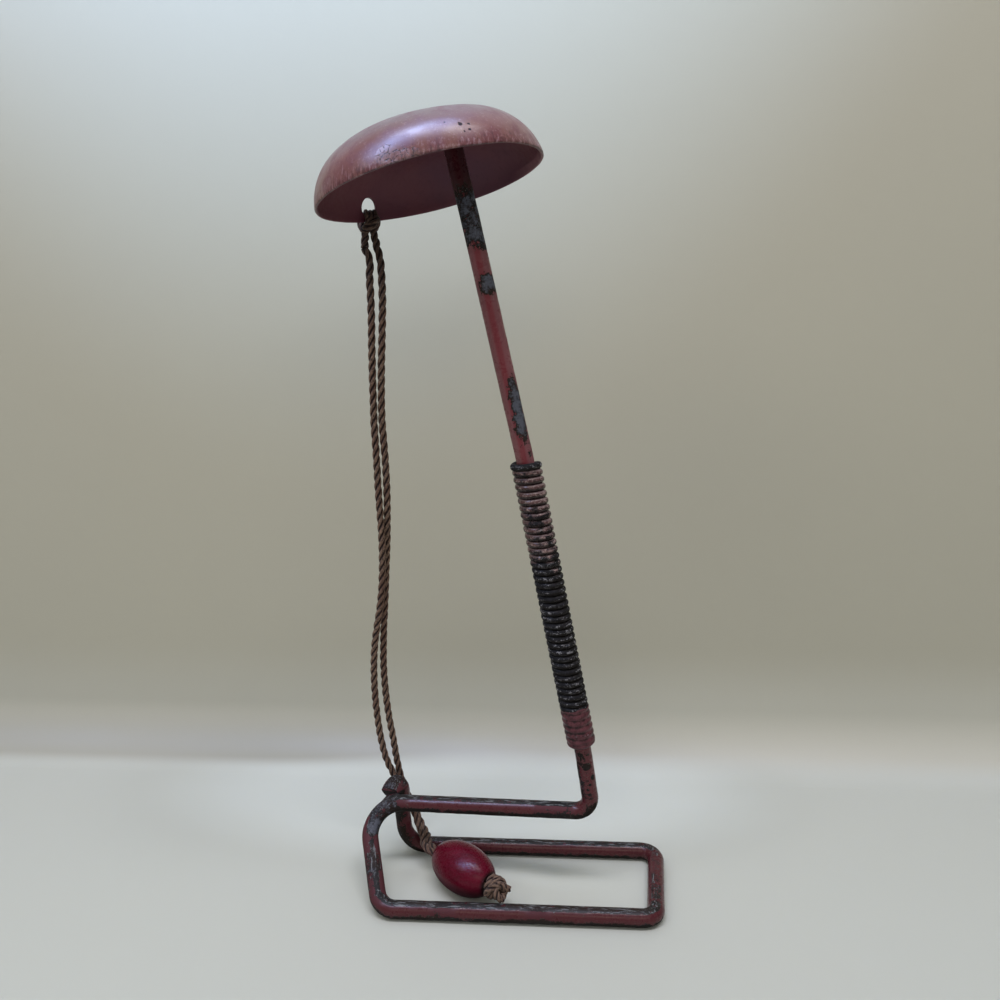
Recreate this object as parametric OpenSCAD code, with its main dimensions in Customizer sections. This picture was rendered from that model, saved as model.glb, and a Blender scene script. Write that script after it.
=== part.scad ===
// Hat display stand: one bent rod with a sheet-metal dome on top, a wire-wound
// grip, and a wooden toggle bead on a doubled cord hitched through the dome's rim.
// Millimetres. X runs to the right, Y away from the viewer, Z up from the floor.
// The origin is on the floor under the middle of the metal work.

/* [Rod] */
// Diameter of the rod
rod_d = 8; // [6:0.5:9]
// Centre-line radius of the two bends at the right end of the base
base_bend_r = 7; // [5:0.5:10]
// Centre-line radius of the bend where the front rail turns up into the riser
riser_bend_r = 9.5; // [6:0.5:12]
// Centre-line radius of the bend from the riser into the upper rail
rail_bend_r = 14; // [8:0.5:18]
// Centre-line radius of the bend from the upper rail into the shaft
foot_bend_r = 8; // [6:0.5:12]
// Centre-line radius of the bend from the back rail into the stub
stub_bend_r = 12; // [6:0.5:14]
// Centre-line radius of the hook at the top of the stub
hook_bend_r = 5; // [4.8:0.1:5.6]
// Centre-line radius of the slight sets in the shaft at the ends of the grip
shaft_set_r = 200; // [100:20:300]

/* [Base] */
// Length of the front rail, corner to corner on the centre line
base_width = 128; // [110:1:150]
// Distance from the front rail to the back rail, centre to centre
base_depth = 50.6; // [44:0.2:62]
// How far the back-right corner stands to the right of the front-right corner
right_skew = 7.4; // [0:0.2:10]
// How far the back-left corner stands to the right of the front-left corner
left_skew = 3.8; // [0:0.2:6]
// Height of the stub's corner above the back rail's centre line
stub_rise = 36.8; // [34:0.2:40]
// How far the stub leans left over its height
stub_lean = 3.6; // [0:0.2:5]
// Length of the hook from its corner to the cut end
hook_len = 8.6; // [8.4:0.1:10]

/* [Upper rail] */
// How far the rail's left corner stands out to the left of the base
rail_overhang = 15.5; // [10:0.5:20]
// Clear space between the rail's left corner and the stub, front to back
rail_stub_gap = 1; // [0.4:0.2:4]
// Height of the rail's left corner
rail_left_z = 33.2; // [30:0.2:36]
// Height of the rail's right corner, at the foot of the shaft
rail_right_z = 41.6; // [36:0.2:48]
// Distance of the shaft's foot from the right end of the front rail
foot_inset = 28; // [20:1:40]
// Distance of the shaft's foot behind the front rail
foot_depth = 24; // [18:1:30]

/* [Shaft] */
// Length from the rail's right corner to the lower end of the grip
foot_len = 33; // [28:1:45]
// Length of the shaft inside the grip
grip_len = 141; // [100:1:160]
// Length from the upper end of the grip to the set just below the dome
neck_len = 106; // [60:1:130]
// Length from that set to the plane of the dome's rim
rim_reach = 14.5; // [8:0.5:20]
// Lean to the left below the grip, in degrees
foot_lean = 8.8; // [0:0.2:12]
// Lean to the left along the grip, in degrees
grip_lean = 11.2; // [0:0.2:14]
// Lean to the left above the grip, in degrees
neck_lean = 12.7; // [0:0.1:15]
// Lean to the left of the last stretch and of the dome, in degrees
dome_lean = 13.5; // [0:0.1:16]
// Lean of the whole shaft towards the viewer, in degrees
forward_lean = 2.9; // [0:0.1:5]

/* [Grip] */
// Thickness of the wire wound round the shaft
wire_d = 2.8; // [2:0.1:2.8]
// Number of turns
grip_turns = 41; // [30:1:41]
// Clear space between the wire and the rod
wire_gap = 0.1; // [0.05:0.05:0.5]

/* [Dome] */
// Width of the dome at its shoulder
dome_d = 97.2; // [80:0.2:120]
// Height of the crown above the rim
dome_h = 24; // [20:0.5:32]
// Thickness of the sheet
dome_wall = 1.2; // [0.8:0.1:2]
// Radius of the rounded shoulder
shoulder_r = 24; // [16:0.5:24]
// Radius of the flatter crown
crown_r = 120; // [90:5:160]
// How far the dome's centre stands to the left of the shaft
dome_offset = 13; // [0:0.5:18]
// Diameter of the cord hole
cord_hole_d = 8; // [7.6:0.1:9]
// Height of the cord hole's centre above the rim
cord_hole_h = 5.7; // [5.5:0.1:7]
// Direction of the cord hole round the dome, in degrees from its right side
cord_hole_turn = 135; // [120:1:150]

/* [Crown fixing] */
// Diameter of the tenon on the end of the rod
tenon_d = 5; // [3:0.25:6]
// Clear space round the tenon
tenon_gap = 0.1; // [0.05:0.05:0.3]
// Diameter of the spread head outside the crown
head_d = 9; // [8:0.5:12]
// Height of the spread head
head_h = 1.8; // [1.4:0.1:2.5]
// Clear space where the rod and its head lie against the sheet
seat_gap = 0.04; // [0.02:0.01:0.1]

/* [Toggle bead] */
// Length of the bead along its bore
bead_len = 34.6; // [28:0.2:40]
// Width of the bead at its middle
bead_d = 23; // [18:0.5:23.2]
// Width of the flat ends
bead_end_d = 9.6; // [8:0.2:12]
// Diameter of the bore
bore_d = 7; // [6.6:0.1:7.6]
// Width of the softly rounded edge at the ends of the bore
bore_edge = 0.6; // [0.3:0.1:1]
// Width of the stopper knot
knot_d = 11; // [9:0.5:11]
// Length of the stopper knot
knot_len = 9; // [7:0.5:11]
// Clear space between the bead and the knot
knot_gap = 0.3; // [0.3:0.1:1]

/* [Cord] */
// Thickness of the cord
cord_d = 3; // [2.4:0.1:3.2]
// Distance between the two strands where they lie side by side
strand_gap = 0.2; // [0.2:0.1:0.6]
// Straight stretch of cord that the bead can slide back over
cord_lead = 6.5; // [4:0.5:9]

/* [Hidden] */
$fn = 48;
rod_r = rod_d / 2;

// The middle of the metal work, measured from the front-left corner of the base
middle = [60, 9.4];

// Corners of the rod's centre line, in order from the cut end of the hook
function unit(v) = v / norm(v);
function lean(left, front) = unit([-tan(left), -tan(front), 1]);
hook_dir = unit([-0.45, -0.85, -0.3]);
front_left = [-middle.x, -middle.y, rod_r];
front_right = front_left + [base_width, 0, 0];
back_right = front_right + [right_skew, base_depth, 0];
back_left = front_left + [left_skew, base_depth, 0];
stub_top = back_left + [-stub_lean, 0, stub_rise];
hook_end = stub_top + hook_len * hook_dir;
rail_left = [front_left.x - rail_overhang, back_left.y - rod_d - rail_stub_gap, rail_left_z];
rail_right = [front_right.x - foot_inset, front_right.y + foot_depth, rail_right_z];
grip_foot = rail_right + foot_len * lean(foot_lean, forward_lean);
grip_dir = lean(grip_lean, forward_lean);
grip_head = grip_foot + grip_len * grip_dir;
neck_top = grip_head + neck_len * lean(neck_lean, forward_lean);
dome_up = lean(dome_lean, forward_lean);
dome_side = unit(cross([0, 1, 0], dome_up));
dome_back = cross(dome_up, dome_side);
shaft_at_rim = neck_top + rim_reach * dome_up;
rim_centre = shaft_at_rim - dome_offset * dome_side;

// Centre and ends of the two arcs in the dome's outer profile
shoulder_x = dome_d / 2 - shoulder_r;
shoulder_z = dome_h - crown_r + sqrt(pow(crown_r - shoulder_r, 2) - pow(shoulder_x, 2));
shoulder_start = -asin(min(1, max(-1, shoulder_z / shoulder_r)));
shoulder_end = acos(shoulder_x / (crown_r - shoulder_r));
crown_centre = [0, 0, dome_h - crown_r];
arc_steps = 10;

// The shoulder of the rod's end stops just under the sheet, at its outer edge
shoulder_h = crown_centre.z - seat_gap
    + sqrt(pow(crown_r - dome_wall, 2) - pow(dome_offset + rod_r, 2));
rod_corners = [hook_end, stub_top, back_left, back_right, front_right, front_left, rail_left,
               rail_right, grip_foot, grip_head, neck_top, shaft_at_rim + shoulder_h * dome_up];
rod_bends = [0, hook_bend_r, stub_bend_r, base_bend_r, base_bend_r, riser_bend_r,
             rail_bend_r, foot_bend_r, shaft_set_r, shaft_set_r, shaft_set_r, 0];

// Sides of the swept rod and cord, and the largest step round a bend, in degrees
rod_faces = 24;
cord_faces = 8;
bend_step = 12;

// Bead and knot: they lie on one line, level with the floor
bead_turn = 39;
bead_lift = 0.1;
bead_middle = [-22.7, 11.2, bead_d / 2 + bead_lift];
bead_dir = [cos(bead_turn), -sin(bead_turn), 0];
knot_face = bead_middle + (bead_len / 2 + knot_gap) * bead_dir;

// The two strands hang from the hitch, pass behind the stub, cross the back rail
// and run through the bead to the knot
strand_r = cord_d / 2;
strand_side = [sin(bead_turn), cos(bead_turn), 0] * (cord_d + strand_gap) / 2;
left_route = [
    [-65.6, 33.8, 304], [-65.9, 34.5, 296], [-65.8, 35.3, 286], [-66, 36.3, 275],
    [-66.4, 37.1, 265], [-66.6, 37.8, 256], [-66.8, 38.6, 246], [-66.9, 39.2, 237],
    [-67, 39.8, 228], [-66.7, 40.5, 217], [-66.5, 41.1, 207], [-66.3, 41.6, 196],
    [-65.9, 41.9, 185], [-65.4, 42.1, 174], [-65.3, 42.3, 164], [-65.6, 42.6, 153],
    [-66.3, 42.9, 143], [-67.6, 43.2, 133], [-69.3, 43.7, 124], [-70.9, 44.2, 114],
    [-71.8, 44.7, 104], [-72.1, 45.3, 93], [-71.8, 46, 81], [-71, 46.6, 70],
    [-69.8, 47.1, 60], [-67.4, 47.6, 48], [-64.2, 48, 38.6], [-60.4, 47.8, 30.6],
    [-56.4, 47.2, 24.2], [-53.1, 45.2, 18.5], [-50, 41.1, 14.2], [-46.8, 35.4, 12.4],
    [-45.4, 29.6, 11.6]];
right_route = [
    [-61.8, 35.8, 304.5], [-60.6, 35.4, 296], [-60.4, 36, 286], [-61, 36.9, 275],
    [-61.6, 37.6, 265], [-62.3, 38.5, 256], [-62.8, 39.4, 246], [-63.1, 40, 237],
    [-63.2, 40.8, 228], [-62.8, 41.7, 217], [-62.4, 42.4, 207], [-62.3, 43.2, 196],
    [-62.5, 43.9, 185], [-62.9, 44.5, 175], [-63.4, 45, 165], [-64.2, 45.5, 154],
    [-64.9, 45.9, 144], [-65.6, 46.3, 134], [-66.4, 46.7, 124], [-67, 47.1, 114],
    [-67.4, 47.6, 104], [-67.3, 48.2, 93], [-66.6, 48.8, 81], [-65.4, 49.2, 70],
    [-63.9, 49.5, 60], [-61.9, 49.9, 47], [-59.5, 50.2, 38], [-56.8, 50.1, 30],
    [-53.4, 49.4, 23.2], [-50.3, 47.1, 17.6], [-47.2, 43, 13.4], [-43.8, 36.8, 11.9],
    [-42.6, 32.2, 11.6]];

// How far a bend of radius r reaches along each leg of the corner at c
function reach(a, c, b, r) = r * tan(acos(unit(c - a) * unit(b - c)) / 2);

// Stations along the bend at the corner c: each is a point and the direction there
function bend(a, c, b, r) =
    let (d1 = unit(c - a), d2 = unit(b - c), turn = acos(d1 * d2),
         hub = c + unit(d2 - d1) * r / cos(turn / 2),
         out = unit(c - reach(a, c, b, r) * d1 - hub), steps = ceil(turn / bend_step))
    [for (i = [0:steps]) let (t = turn * i / steps)
        [hub + r * (cos(t) * out + sin(t) * d1), cos(t) * d1 - sin(t) * out]];

// Stations along a whole rod that follows the corners, with its bends
function rod_stations(corners, bends) = let (last = len(corners) - 1) concat(
    [[corners[0], unit(corners[1] - corners[0])]],
    [for (i = [1:last - 1]) each bend(corners[i - 1], corners[i], corners[i + 1], bends[i])],
    [[corners[last], unit(corners[last] - corners[last - 1])]]);

// A vector square to the direction from, carried round to the direction to without twist
function carried(side, from, to) = side - side * to / (1 + from * to) * (from + to);
function sides_along(stations, side, i = 0) = i == len(stations) ? []
    : let (now = i == 0 ? side : carried(side, stations[i - 1][1], stations[i][1]))
        concat([now], sides_along(stations, now, i + 1));
function reversed(list) = [for (i = [len(list) - 1:-1:0]) list[i]];

// Faces of a tube of n sides with the given number of rings
function tube_faces(rings, n) = concat(
    [[for (k = [0:n - 1]) k]],
    [for (i = [0:rings - 2], k = [0:n - 1])
        each [[i * n + k, (i + 1) * n + k, i * n + (k + 1) % n],
              [i * n + (k + 1) % n, (i + 1) * n + k, (i + 1) * n + (k + 1) % n]]],
    [[for (k = [n - 1:-1:0]) (rings - 1) * n + k]]);

// The rod's sides are set so that one edge runs along the bottom of the base
base_stations = [for (s = rod_stations([back_right, back_left, stub_top, hook_end],
                                       [0, stub_bend_r, hook_bend_r, 0])) s];
rod_side = let (sides = sides_along(base_stations, [0, 0, 1])) sides[len(sides) - 1];

// A round bar swept along its stations; side is square to the first direction
module swept(stations, d, side, n) {
    sides = sides_along(stations, side);
    polyhedron(
        points = [for (i = [0:len(stations) - 1], k = [0:n - 1])
            stations[i][0] + d / 2 * (cos(360 * k / n) * sides[i]
                                      + sin(360 * k / n) * cross(stations[i][1], sides[i]))],
        faces = tube_faces(len(stations), n));
}

// Puts children drawn in the dome's own axes, rim in the XY plane, into place
module at_dome() {
    multmatrix([[dome_side.x, dome_back.x, dome_up.x, rim_centre.x],
                [dome_side.y, dome_back.y, dome_up.y, rim_centre.y],
                [dome_side.z, dome_back.z, dome_up.z, rim_centre.z]])
        children();
}

// Outer profile of the dome, drawn in by the amount inset
function dome_arc(inset) = concat(
    [for (i = [0:arc_steps]) let (a = shoulder_start + (shoulder_end - shoulder_start) * i / arc_steps)
        [shoulder_x + (shoulder_r - inset) * cos(a), shoulder_z + (shoulder_r - inset) * sin(a)]],
    [for (i = [1:arc_steps]) let (a = shoulder_end + (90 - shoulder_end) * i / arc_steps)
        [(crown_r - inset) * cos(a), crown_centre.z + (crown_r - inset) * sin(a)]]);

// The rod: frame, shaft, and the tenon that is spread over outside the crown
module rod_frame() {
    stations = rod_stations(rod_corners, rod_bends);
    color("#4a2a30") {
        swept(stations, rod_d, rod_side, rod_faces);
        at_dome() {
            translate([dome_offset, 0, shoulder_h - tenon_d])
                cylinder(d = tenon_d, h = dome_h - shoulder_h + tenon_d);
            difference() {
                translate([dome_offset, 0, dome_h - head_h])
                    rotate_extrude()
                        polygon([[0, 0], [head_d / 2, 0], [head_d / 2, head_h],
                                 [head_d / 2 - 0.9, 1.7 * head_h], [0, 1.9 * head_h]]);
                translate(crown_centre)
                    sphere(r = crown_r + seat_gap, $fn = 96);
            }
        }
    }
}

// The pressed dome with its cord hole and the hole for the tenon
module dome() {
    color("#8a5058")
    at_dome()
        difference() {
            rotate_extrude($fn = 96)
                polygon(concat(dome_arc(0), [for (i = [2 * arc_steps:-1:0]) dome_arc(dome_wall)[i]]));
            translate([dome_offset, 0, dome_h / 2])
                cylinder(d = tenon_d + 2 * tenon_gap, h = dome_h);
            rotate([0, 0, cord_hole_turn])
                translate([shoulder_x, 0, cord_hole_h])
                    rotate([0, 90, 0])
                        cylinder(d = cord_hole_d, h = 2 * shoulder_r);
        }
}

// Stations along a route given by its points alone
function along(route) = [for (i = [0:len(route) - 1])
    [route[i], unit(route[min(i + 1, len(route) - 1)] - route[max(i - 1, 0)])]];
function square_to(side, dir) = unit(side - (side * dir) * dir);
module cord(route) {
    stations = along(route);
    swept(stations, cord_d, square_to([0.1, 1, 0.1], stations[0][1]), cord_faces);
}

// The grip: one wire wound tightly up the shaft, its ends left straight
wire_rings = 8;
wire_faces = 6;
winding_r = (rod_r + wire_gap + wire_d / 2 * cos(180 / wire_faces)) / cos(180 / wire_rings);
wire_end = wire_d / 2 + wire_d;
wire_pitch = (grip_len - 2 * wire_end) / grip_turns;
wire_side = unit(cross([0, 1, 0], grip_dir));
wire_back = cross(grip_dir, wire_side);
function wire_at(i) = let (a = 360 * i / wire_rings)
    grip_foot + (wire_end + wire_pitch * i / wire_rings) * grip_dir
    + winding_r * (cos(a) * wire_side - sin(a) * wire_back);
function wire_dir(i) = let (a = 360 * i / wire_rings)
    unit(wire_pitch / 360 * 180 / PI * grip_dir
         - winding_r * (cos(a) * wire_back + sin(a) * wire_side));
function wire_out(i) = let (a = 360 * i / wire_rings) cos(a) * wire_side - sin(a) * wire_back;
function wire_ring(middle, i) = [for (k = [0:wire_faces - 1])
    let (b = 360 * (k + 0.5) / wire_faces)
        middle + wire_d / 2 * (cos(b) * wire_out(i) + sin(b) * cross(wire_dir(i), wire_out(i)))];
wire_count = grip_turns * wire_rings;
wire_points = concat(
    [wire_ring(wire_at(0) - wire_d * wire_dir(0), 0)],
    [for (i = [0:wire_count]) wire_ring(wire_at(i), i)],
    [wire_ring(wire_at(wire_count) + wire_d * wire_dir(wire_count), wire_count)]);
wire_clear = min([for (i = [2:wire_count - wire_rings], j = [i + wire_rings - 2:i + wire_rings + 2],
                      p = wire_points[i], q = wire_points[min(j, wire_count + 2)]) norm(p - q)]);
echo(least_gap_between_turns = wire_clear);

module grip_winding() {
    color("#3a3338")
        polyhedron(points = [for (ring = wire_points) each ring],
                   faces = tube_faces(len(wire_points), wire_faces));
}

// The hitch: the cord's middle is pushed out through the hole and brought down under
// the rim, and both strands are passed through that loop and drawn tight.
// Places are given outward from the middle of the wall, along the wall, and up from
// the rim; below the rim the cord hangs straight down.
hitch_out = [cos(cord_hole_turn), sin(cord_hole_turn), 0];
hitch_along = [-sin(cord_hole_turn), cos(cord_hole_turn), 0];
hug = dome_wall / 2 + strand_r + 0.4;
pair = (cord_d + strand_gap) / 2;
leg = 3 * pair + 0.1;
hole_pass = cord_hole_h - sqrt(pow(cord_hole_d / 2 - strand_r - 0.2, 2) - pow(pair, 2));
function wall_at(up) =
    shoulder_x + sqrt(pow(shoulder_r, 2) - pow(up - shoulder_z, 2)) - dome_wall / 2;
function in_dome(p) = rim_centre + p.x * dome_side + p.y * dome_back + p.z * dome_up;
function hitch_point(out, along, up) = let (above = max(up, 0))
    in_dome((wall_at(above) + out) * hitch_out + along * hitch_along + [0, 0, above])
    + [0, 0, min(up, 0)];
hitch_half = [
    [0.5, pair + 0.5, -11.6], [1.5, pair + 0.1, -8.6], [1.9, pair, -5.6], [0.5, pair, -3.2],
    [0.2 - hug, pair, -1.6], [-0.2 - hug, pair, 1], [-0.1 - hug, pair, hole_pass - 1.2],
    [-1.3, pair, hole_pass], [0.5, pair, hole_pass], [2, pair + 0.3, hole_pass - 0.2],
    [hug + 0.5, leg - 1.8, hole_pass - 1.6], [hug + 0.4, leg - 1, 0.2],
    [hug, leg - 0.2, -2.8], [0.4, leg + 0.1, -5.6], [-1.5, leg - 1.6, -7.5]];
hitch_route = concat(
    [for (p = hitch_half) hitch_point(p.x, p.y, p.z)],
    [hitch_point(-2.1, 0, -8.2)],
    [for (i = [len(hitch_half) - 1:-1:0]) let (p = hitch_half[i]) hitch_point(p.x, -p.y, p.z)]);

module rim_hitch() {
    color("#5c4a40")
        cord(hitch_route);
}

// The free strands, from the hitch to the face of the knot
function strand(route, top, offset) = concat(
    [top], route,
    [for (s = [bead_len / 2 + cord_lead, bead_len / 2, 6, -6]) bead_middle - s * bead_dir + offset],
    [knot_face + offset]);

module cord_left() {
    color("#6e5a4e")
        cord(strand(left_route, hitch_route[0], -strand_side));
}

module cord_right() {
    color("#6e5a4e")
        cord(strand(right_route, hitch_route[len(hitch_route) - 1], strand_side));
}

// Things drawn along the bead's bore, from the end nearest the back rail
module on_bead_line() {
    translate(bead_middle)
        rotate([0, 90, -bead_turn])
            children();
}

bead_a = bead_len / 2 / cos(asin(bead_end_d / bead_d));
module toggle_bead() {
    color("#7a1c34")
    on_bead_line()
        rotate_extrude()
            difference() {
                intersection() {
                    polygon([for (i = [0:24]) let (a = -90 + 180 * i / 24)
                        [bead_d / 2 * cos(a), bead_a * sin(a)]]);
                    translate([bore_d / 2, -bead_len / 2])
                        square([bead_d, bead_len]);
                }
                for (end = [-1, 1])
                    translate([bore_d / 2, end * bead_len / 2])
                        rotate(45)
                            square(bore_edge * sqrt(2), center = true);
            }
}

module end_knot() {
    color("#8a7462")
    on_bead_line()
        translate([0, 0, bead_len / 2 + knot_gap])
            rotate_extrude()
                polygon([[0, 0], [knot_d * 0.34, 0], [knot_d * 0.45, knot_len * 0.14],
                         [knot_d * 0.5, knot_len * 0.34], [knot_d * 0.48, knot_len * 0.56],
                         [knot_d * 0.4, knot_len * 0.8], [knot_d * 0.24, knot_len * 0.95],
                         [0, knot_len]]);
}

rod_frame();
dome();
grip_winding();
rim_hitch();
cord_left();
cord_right();
toggle_bead();
end_knot();
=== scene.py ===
"""Hat display stand: one bent rod, a pressed dome, a wire-wound grip, and a bead on a doubled cord.

The shapes are worked out in millimetres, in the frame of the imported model, and MM turns them
into Blender's metres where they become meshes. X runs to the right along the front rail, Y away
from the viewer and Z up from the floor.
"""
import math
from contextlib import contextmanager

import bpy
from bpy.props import FloatProperty, FloatVectorProperty, IntProperty, PointerProperty
from mathutils import Matrix, Vector, kdtree, noise


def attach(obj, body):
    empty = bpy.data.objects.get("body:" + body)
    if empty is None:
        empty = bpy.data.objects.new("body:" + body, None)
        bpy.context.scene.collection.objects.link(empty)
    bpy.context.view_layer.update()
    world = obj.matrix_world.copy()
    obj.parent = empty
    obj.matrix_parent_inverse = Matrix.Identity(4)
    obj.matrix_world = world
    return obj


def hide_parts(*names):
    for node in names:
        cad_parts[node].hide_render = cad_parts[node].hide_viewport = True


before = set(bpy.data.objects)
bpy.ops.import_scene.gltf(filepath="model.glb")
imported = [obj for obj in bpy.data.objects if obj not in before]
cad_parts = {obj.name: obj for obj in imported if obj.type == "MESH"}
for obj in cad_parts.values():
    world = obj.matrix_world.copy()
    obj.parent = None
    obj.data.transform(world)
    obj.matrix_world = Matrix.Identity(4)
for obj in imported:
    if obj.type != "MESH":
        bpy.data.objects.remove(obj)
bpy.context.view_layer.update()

bl_info = {
    "name": "Hat display stand",
    "version": (1, 0, 0),
    "blender": (4, 5, 0),
    "location": "View3D > Sidebar > Hat stand",
    "description": "Builds a leaning hat stand with a dome, a wound grip and a bead on a cord",
    "category": "Add Mesh",
}

MM = 0.001


def linear(code):
    """Linear red, green and blue of an sRGB hex colour."""
    values = [int(code[i:i + 2], 16) / 255 for i in (1, 3, 5)]
    return [v / 12.92 if v <= 0.04045 else ((v + 0.055) / 1.055) ** 2.4 for v in values]


def length(label, text, default):
    return FloatProperty(name=label, description=text, default=default * MM, min=0.1 * MM,
                         unit="LENGTH", precision=4)


def colour(label, text, default):
    return FloatVectorProperty(name=label, description=text, default=linear(default),
                               size=3, min=0, max=1, subtype="COLOR")


class StandSizes(bpy.types.PropertyGroup):
    """Sizes that a user may want to change."""
    rod: length("Rod", "Diameter of the bent rod", 8)
    wire: length("Grip wire", "Thickness of the wire wound round the shaft", 3.2)
    turns: IntProperty(name="Turns", description="Turns of wire on the grip", default=41, min=5)
    dome: length("Dome width", "Width of the dome across its shoulder", 97.2)
    crown: length("Dome height", "Height of the crown above the rim", 24)
    sheet: length("Sheet", "Thickness of the dome's sheet", 1.2)
    cord: length("Cord", "Thickness of the cord", 3.7)
    bead_length: length("Bead length", "Length of the bead along its bore", 34.6)
    bead_width: length("Bead width", "Width of the bead at its middle", 23)


class StandColours(bpy.types.PropertyGroup):
    """Colours that a user may want to change."""
    enamel: colour("Rod enamel", "Maroon enamel on the rod and the foot of the grip", "#7a434b")
    steel: colour("Bare steel", "Dark steel where the enamel has worn away", "#0e0f12")
    dome: colour("Dome enamel", "Faded enamel outside the dome", "#7e5052")
    inside: colour("Dome inside", "Enamel inside the dome", "#4b2130")
    cord: colour("Cord", "Cotton of the cord", "#6d584a")
    bead: colour("Bead", "Stain of the wooden bead", "#5a0820")
    floor: colour("Floor", "Table under the stand", "#cacec7")
    wall: colour("Wall", "Backdrop behind the stand", "#b6b3a2")


# The stand's lines, in millimetres

def lean(left, front):
    return Vector((-math.tan(math.radians(left)), -math.tan(math.radians(front)), 1)).normalized()


FRONT_LEFT = Vector((-60, -9.4, 4))
FRONT_RIGHT = FRONT_LEFT + Vector((128, 0, 0))
BACK_RIGHT = FRONT_RIGHT + Vector((7.4, 50.6, 0))
BACK_LEFT = FRONT_LEFT + Vector((3.8, 50.6, 0))
STUB_TOP = BACK_LEFT + Vector((-3.6, 0, 36.8))
HOOK_END = STUB_TOP + 8.6 * Vector((-0.45, -0.85, -0.3)).normalized()
RAIL_LEFT = Vector((FRONT_LEFT.x - 15.5, BACK_LEFT.y - 9, 33.2))
RAIL_RIGHT = Vector((FRONT_RIGHT.x - 28, FRONT_RIGHT.y + 24, 41.6))
GRIP_FOOT = RAIL_RIGHT + 33 * lean(8.8, 2.9)
GRIP_UP = lean(11.2, 2.9)
GRIP_LENGTH = 141
GRIP_HEAD = GRIP_FOOT + GRIP_LENGTH * GRIP_UP
NECK_TOP = GRIP_HEAD + 106 * lean(12.7, 2.9)
DOME_UP = lean(13.5, 2.9)
DOME_SIDE = Vector((0, 1, 0)).cross(DOME_UP).normalized()
DOME_BACK = DOME_UP.cross(DOME_SIDE)
DOME_OFFSET = 13
SHAFT_AT_RIM = NECK_TOP + 14.5 * DOME_UP
RIM_CENTRE = SHAFT_AT_RIM - DOME_OFFSET * DOME_SIDE
SHOULDER_R = 24
CROWN_R = 120
HOLE_TURN = math.radians(135)
HOLE_HEIGHT = 5.7
HOLE_R = 4

BEAD_MIDDLE = Vector((-22.7, 11.2, 11.6))
BEAD_TURN = math.radians(39)
BEAD_DIR = Vector((math.cos(BEAD_TURN), -math.sin(BEAD_TURN), 0))
STRAND_SIDE = Vector((math.sin(BEAD_TURN), math.cos(BEAD_TURN), 0))
STRAND_APART = 1.42
CORD_LEAD = 6.5
KNOT_FACE = BEAD_MIDDLE + (34.6 / 2 + 0.3) * BEAD_DIR

LEFT_ROUTE = [
    (-65.6, 33.8, 304), (-65.9, 34.5, 296), (-65.8, 35.3, 286), (-66, 36.3, 275),
    (-66.4, 37.1, 265), (-66.6, 37.8, 256), (-66.8, 38.6, 246), (-66.9, 39.2, 237),
    (-67, 39.8, 228), (-66.7, 40.5, 217), (-66.5, 41.1, 207), (-66.3, 41.6, 196),
    (-65.9, 41.9, 185), (-65.4, 42.1, 174), (-65.3, 42.3, 164), (-65.6, 42.6, 153),
    (-66.3, 42.9, 143), (-67.6, 43.2, 133), (-69.3, 43.7, 124), (-70.9, 44.2, 114),
    (-71.8, 44.7, 104), (-72.1, 45.3, 93), (-71.8, 46, 81), (-71, 46.6, 70),
    (-69.8, 47.1, 60), (-67, 47.4, 48), (-63, 47.7, 38.8), (-59.2, 47.5, 31),
    (-55.1, 46.9, 24.5), (-51.9, 44.8, 18.7), (-49.2, 40.6, 14.4), (-46.2, 34.9, 12.5),
    (-44.9, 29.7, 11.7)]
RIGHT_ROUTE = [
    (-61, 35.6, 304.5), (-60.4, 35.4, 296), (-60.4, 36, 286), (-61, 36.9, 275),
    (-61.6, 37.6, 265), (-62.3, 38.5, 256), (-62.8, 39.4, 246), (-63.1, 40, 237),
    (-63.2, 40.8, 228), (-62.8, 41.7, 217), (-62.4, 42.4, 207), (-62.3, 43.2, 196),
    (-62.5, 43.9, 185), (-62.9, 44.5, 175), (-63.4, 45, 165), (-64.2, 45.5, 154),
    (-64.9, 45.9, 144), (-65.6, 46.3, 134), (-66.4, 46.7, 124), (-67, 47.1, 114),
    (-67.4, 47.6, 104), (-67.3, 48.2, 93), (-66.6, 48.8, 81), (-65.4, 49.2, 70),
    (-63.9, 49.7, 60), (-62.3, 50.4, 47), (-60.6, 50.7, 37.9), (-57.9, 50.5, 29.6),
    (-54.7, 49.8, 22.9), (-51.4, 47.7, 17.2), (-48, 43.4, 13.3), (-44.4, 37.4, 11.8),
    (-42.9, 32.2, 11.6)]
# The hitch, drawn outward from the middle of the dome's wall, along it and up from the rim: each
# half, and the bar that joins them inside the dome, which climbs from left to right
HITCH_HALF = [
    (-0.4, 3.4, -11.6), (-0.1, 3, -8.6), (0.4, 2.4, -5.8), (0.1, 2.2, -3.4), (-2.2, 2.1, -1.4),
    (-2.6, 1.6, 0.8), (-2.4, 1.6, 2.4), (-1.2, 1.6, 3.35), (0.5, 1.6, 3.35), (2.1, 1.8, 3.1),
    (3, 2.3, 2), (2.9, 2.8, 0.4), (2.3, 3.1, -1.4)]
HITCH_BAR = [(0.7, 3.1, -2.9), (-1.6, 2.9, -3.4), (-3.4, 2, -3), (-4.4, 0.4, -1.5),
             (-4, -1.2, -0.1), (-2.5, -2.3, -0.8), (-0.9, -2.9, -2.3), (0.7, -3.1, -2.9)]


# Modelling helpers

def pick(*objs):
    """Selects only these objects, the last of them active."""
    bpy.ops.object.select_all(action="DESELECT")
    for obj in objs:
        obj.select_set(True)
        bpy.context.view_layer.objects.active = obj


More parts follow.
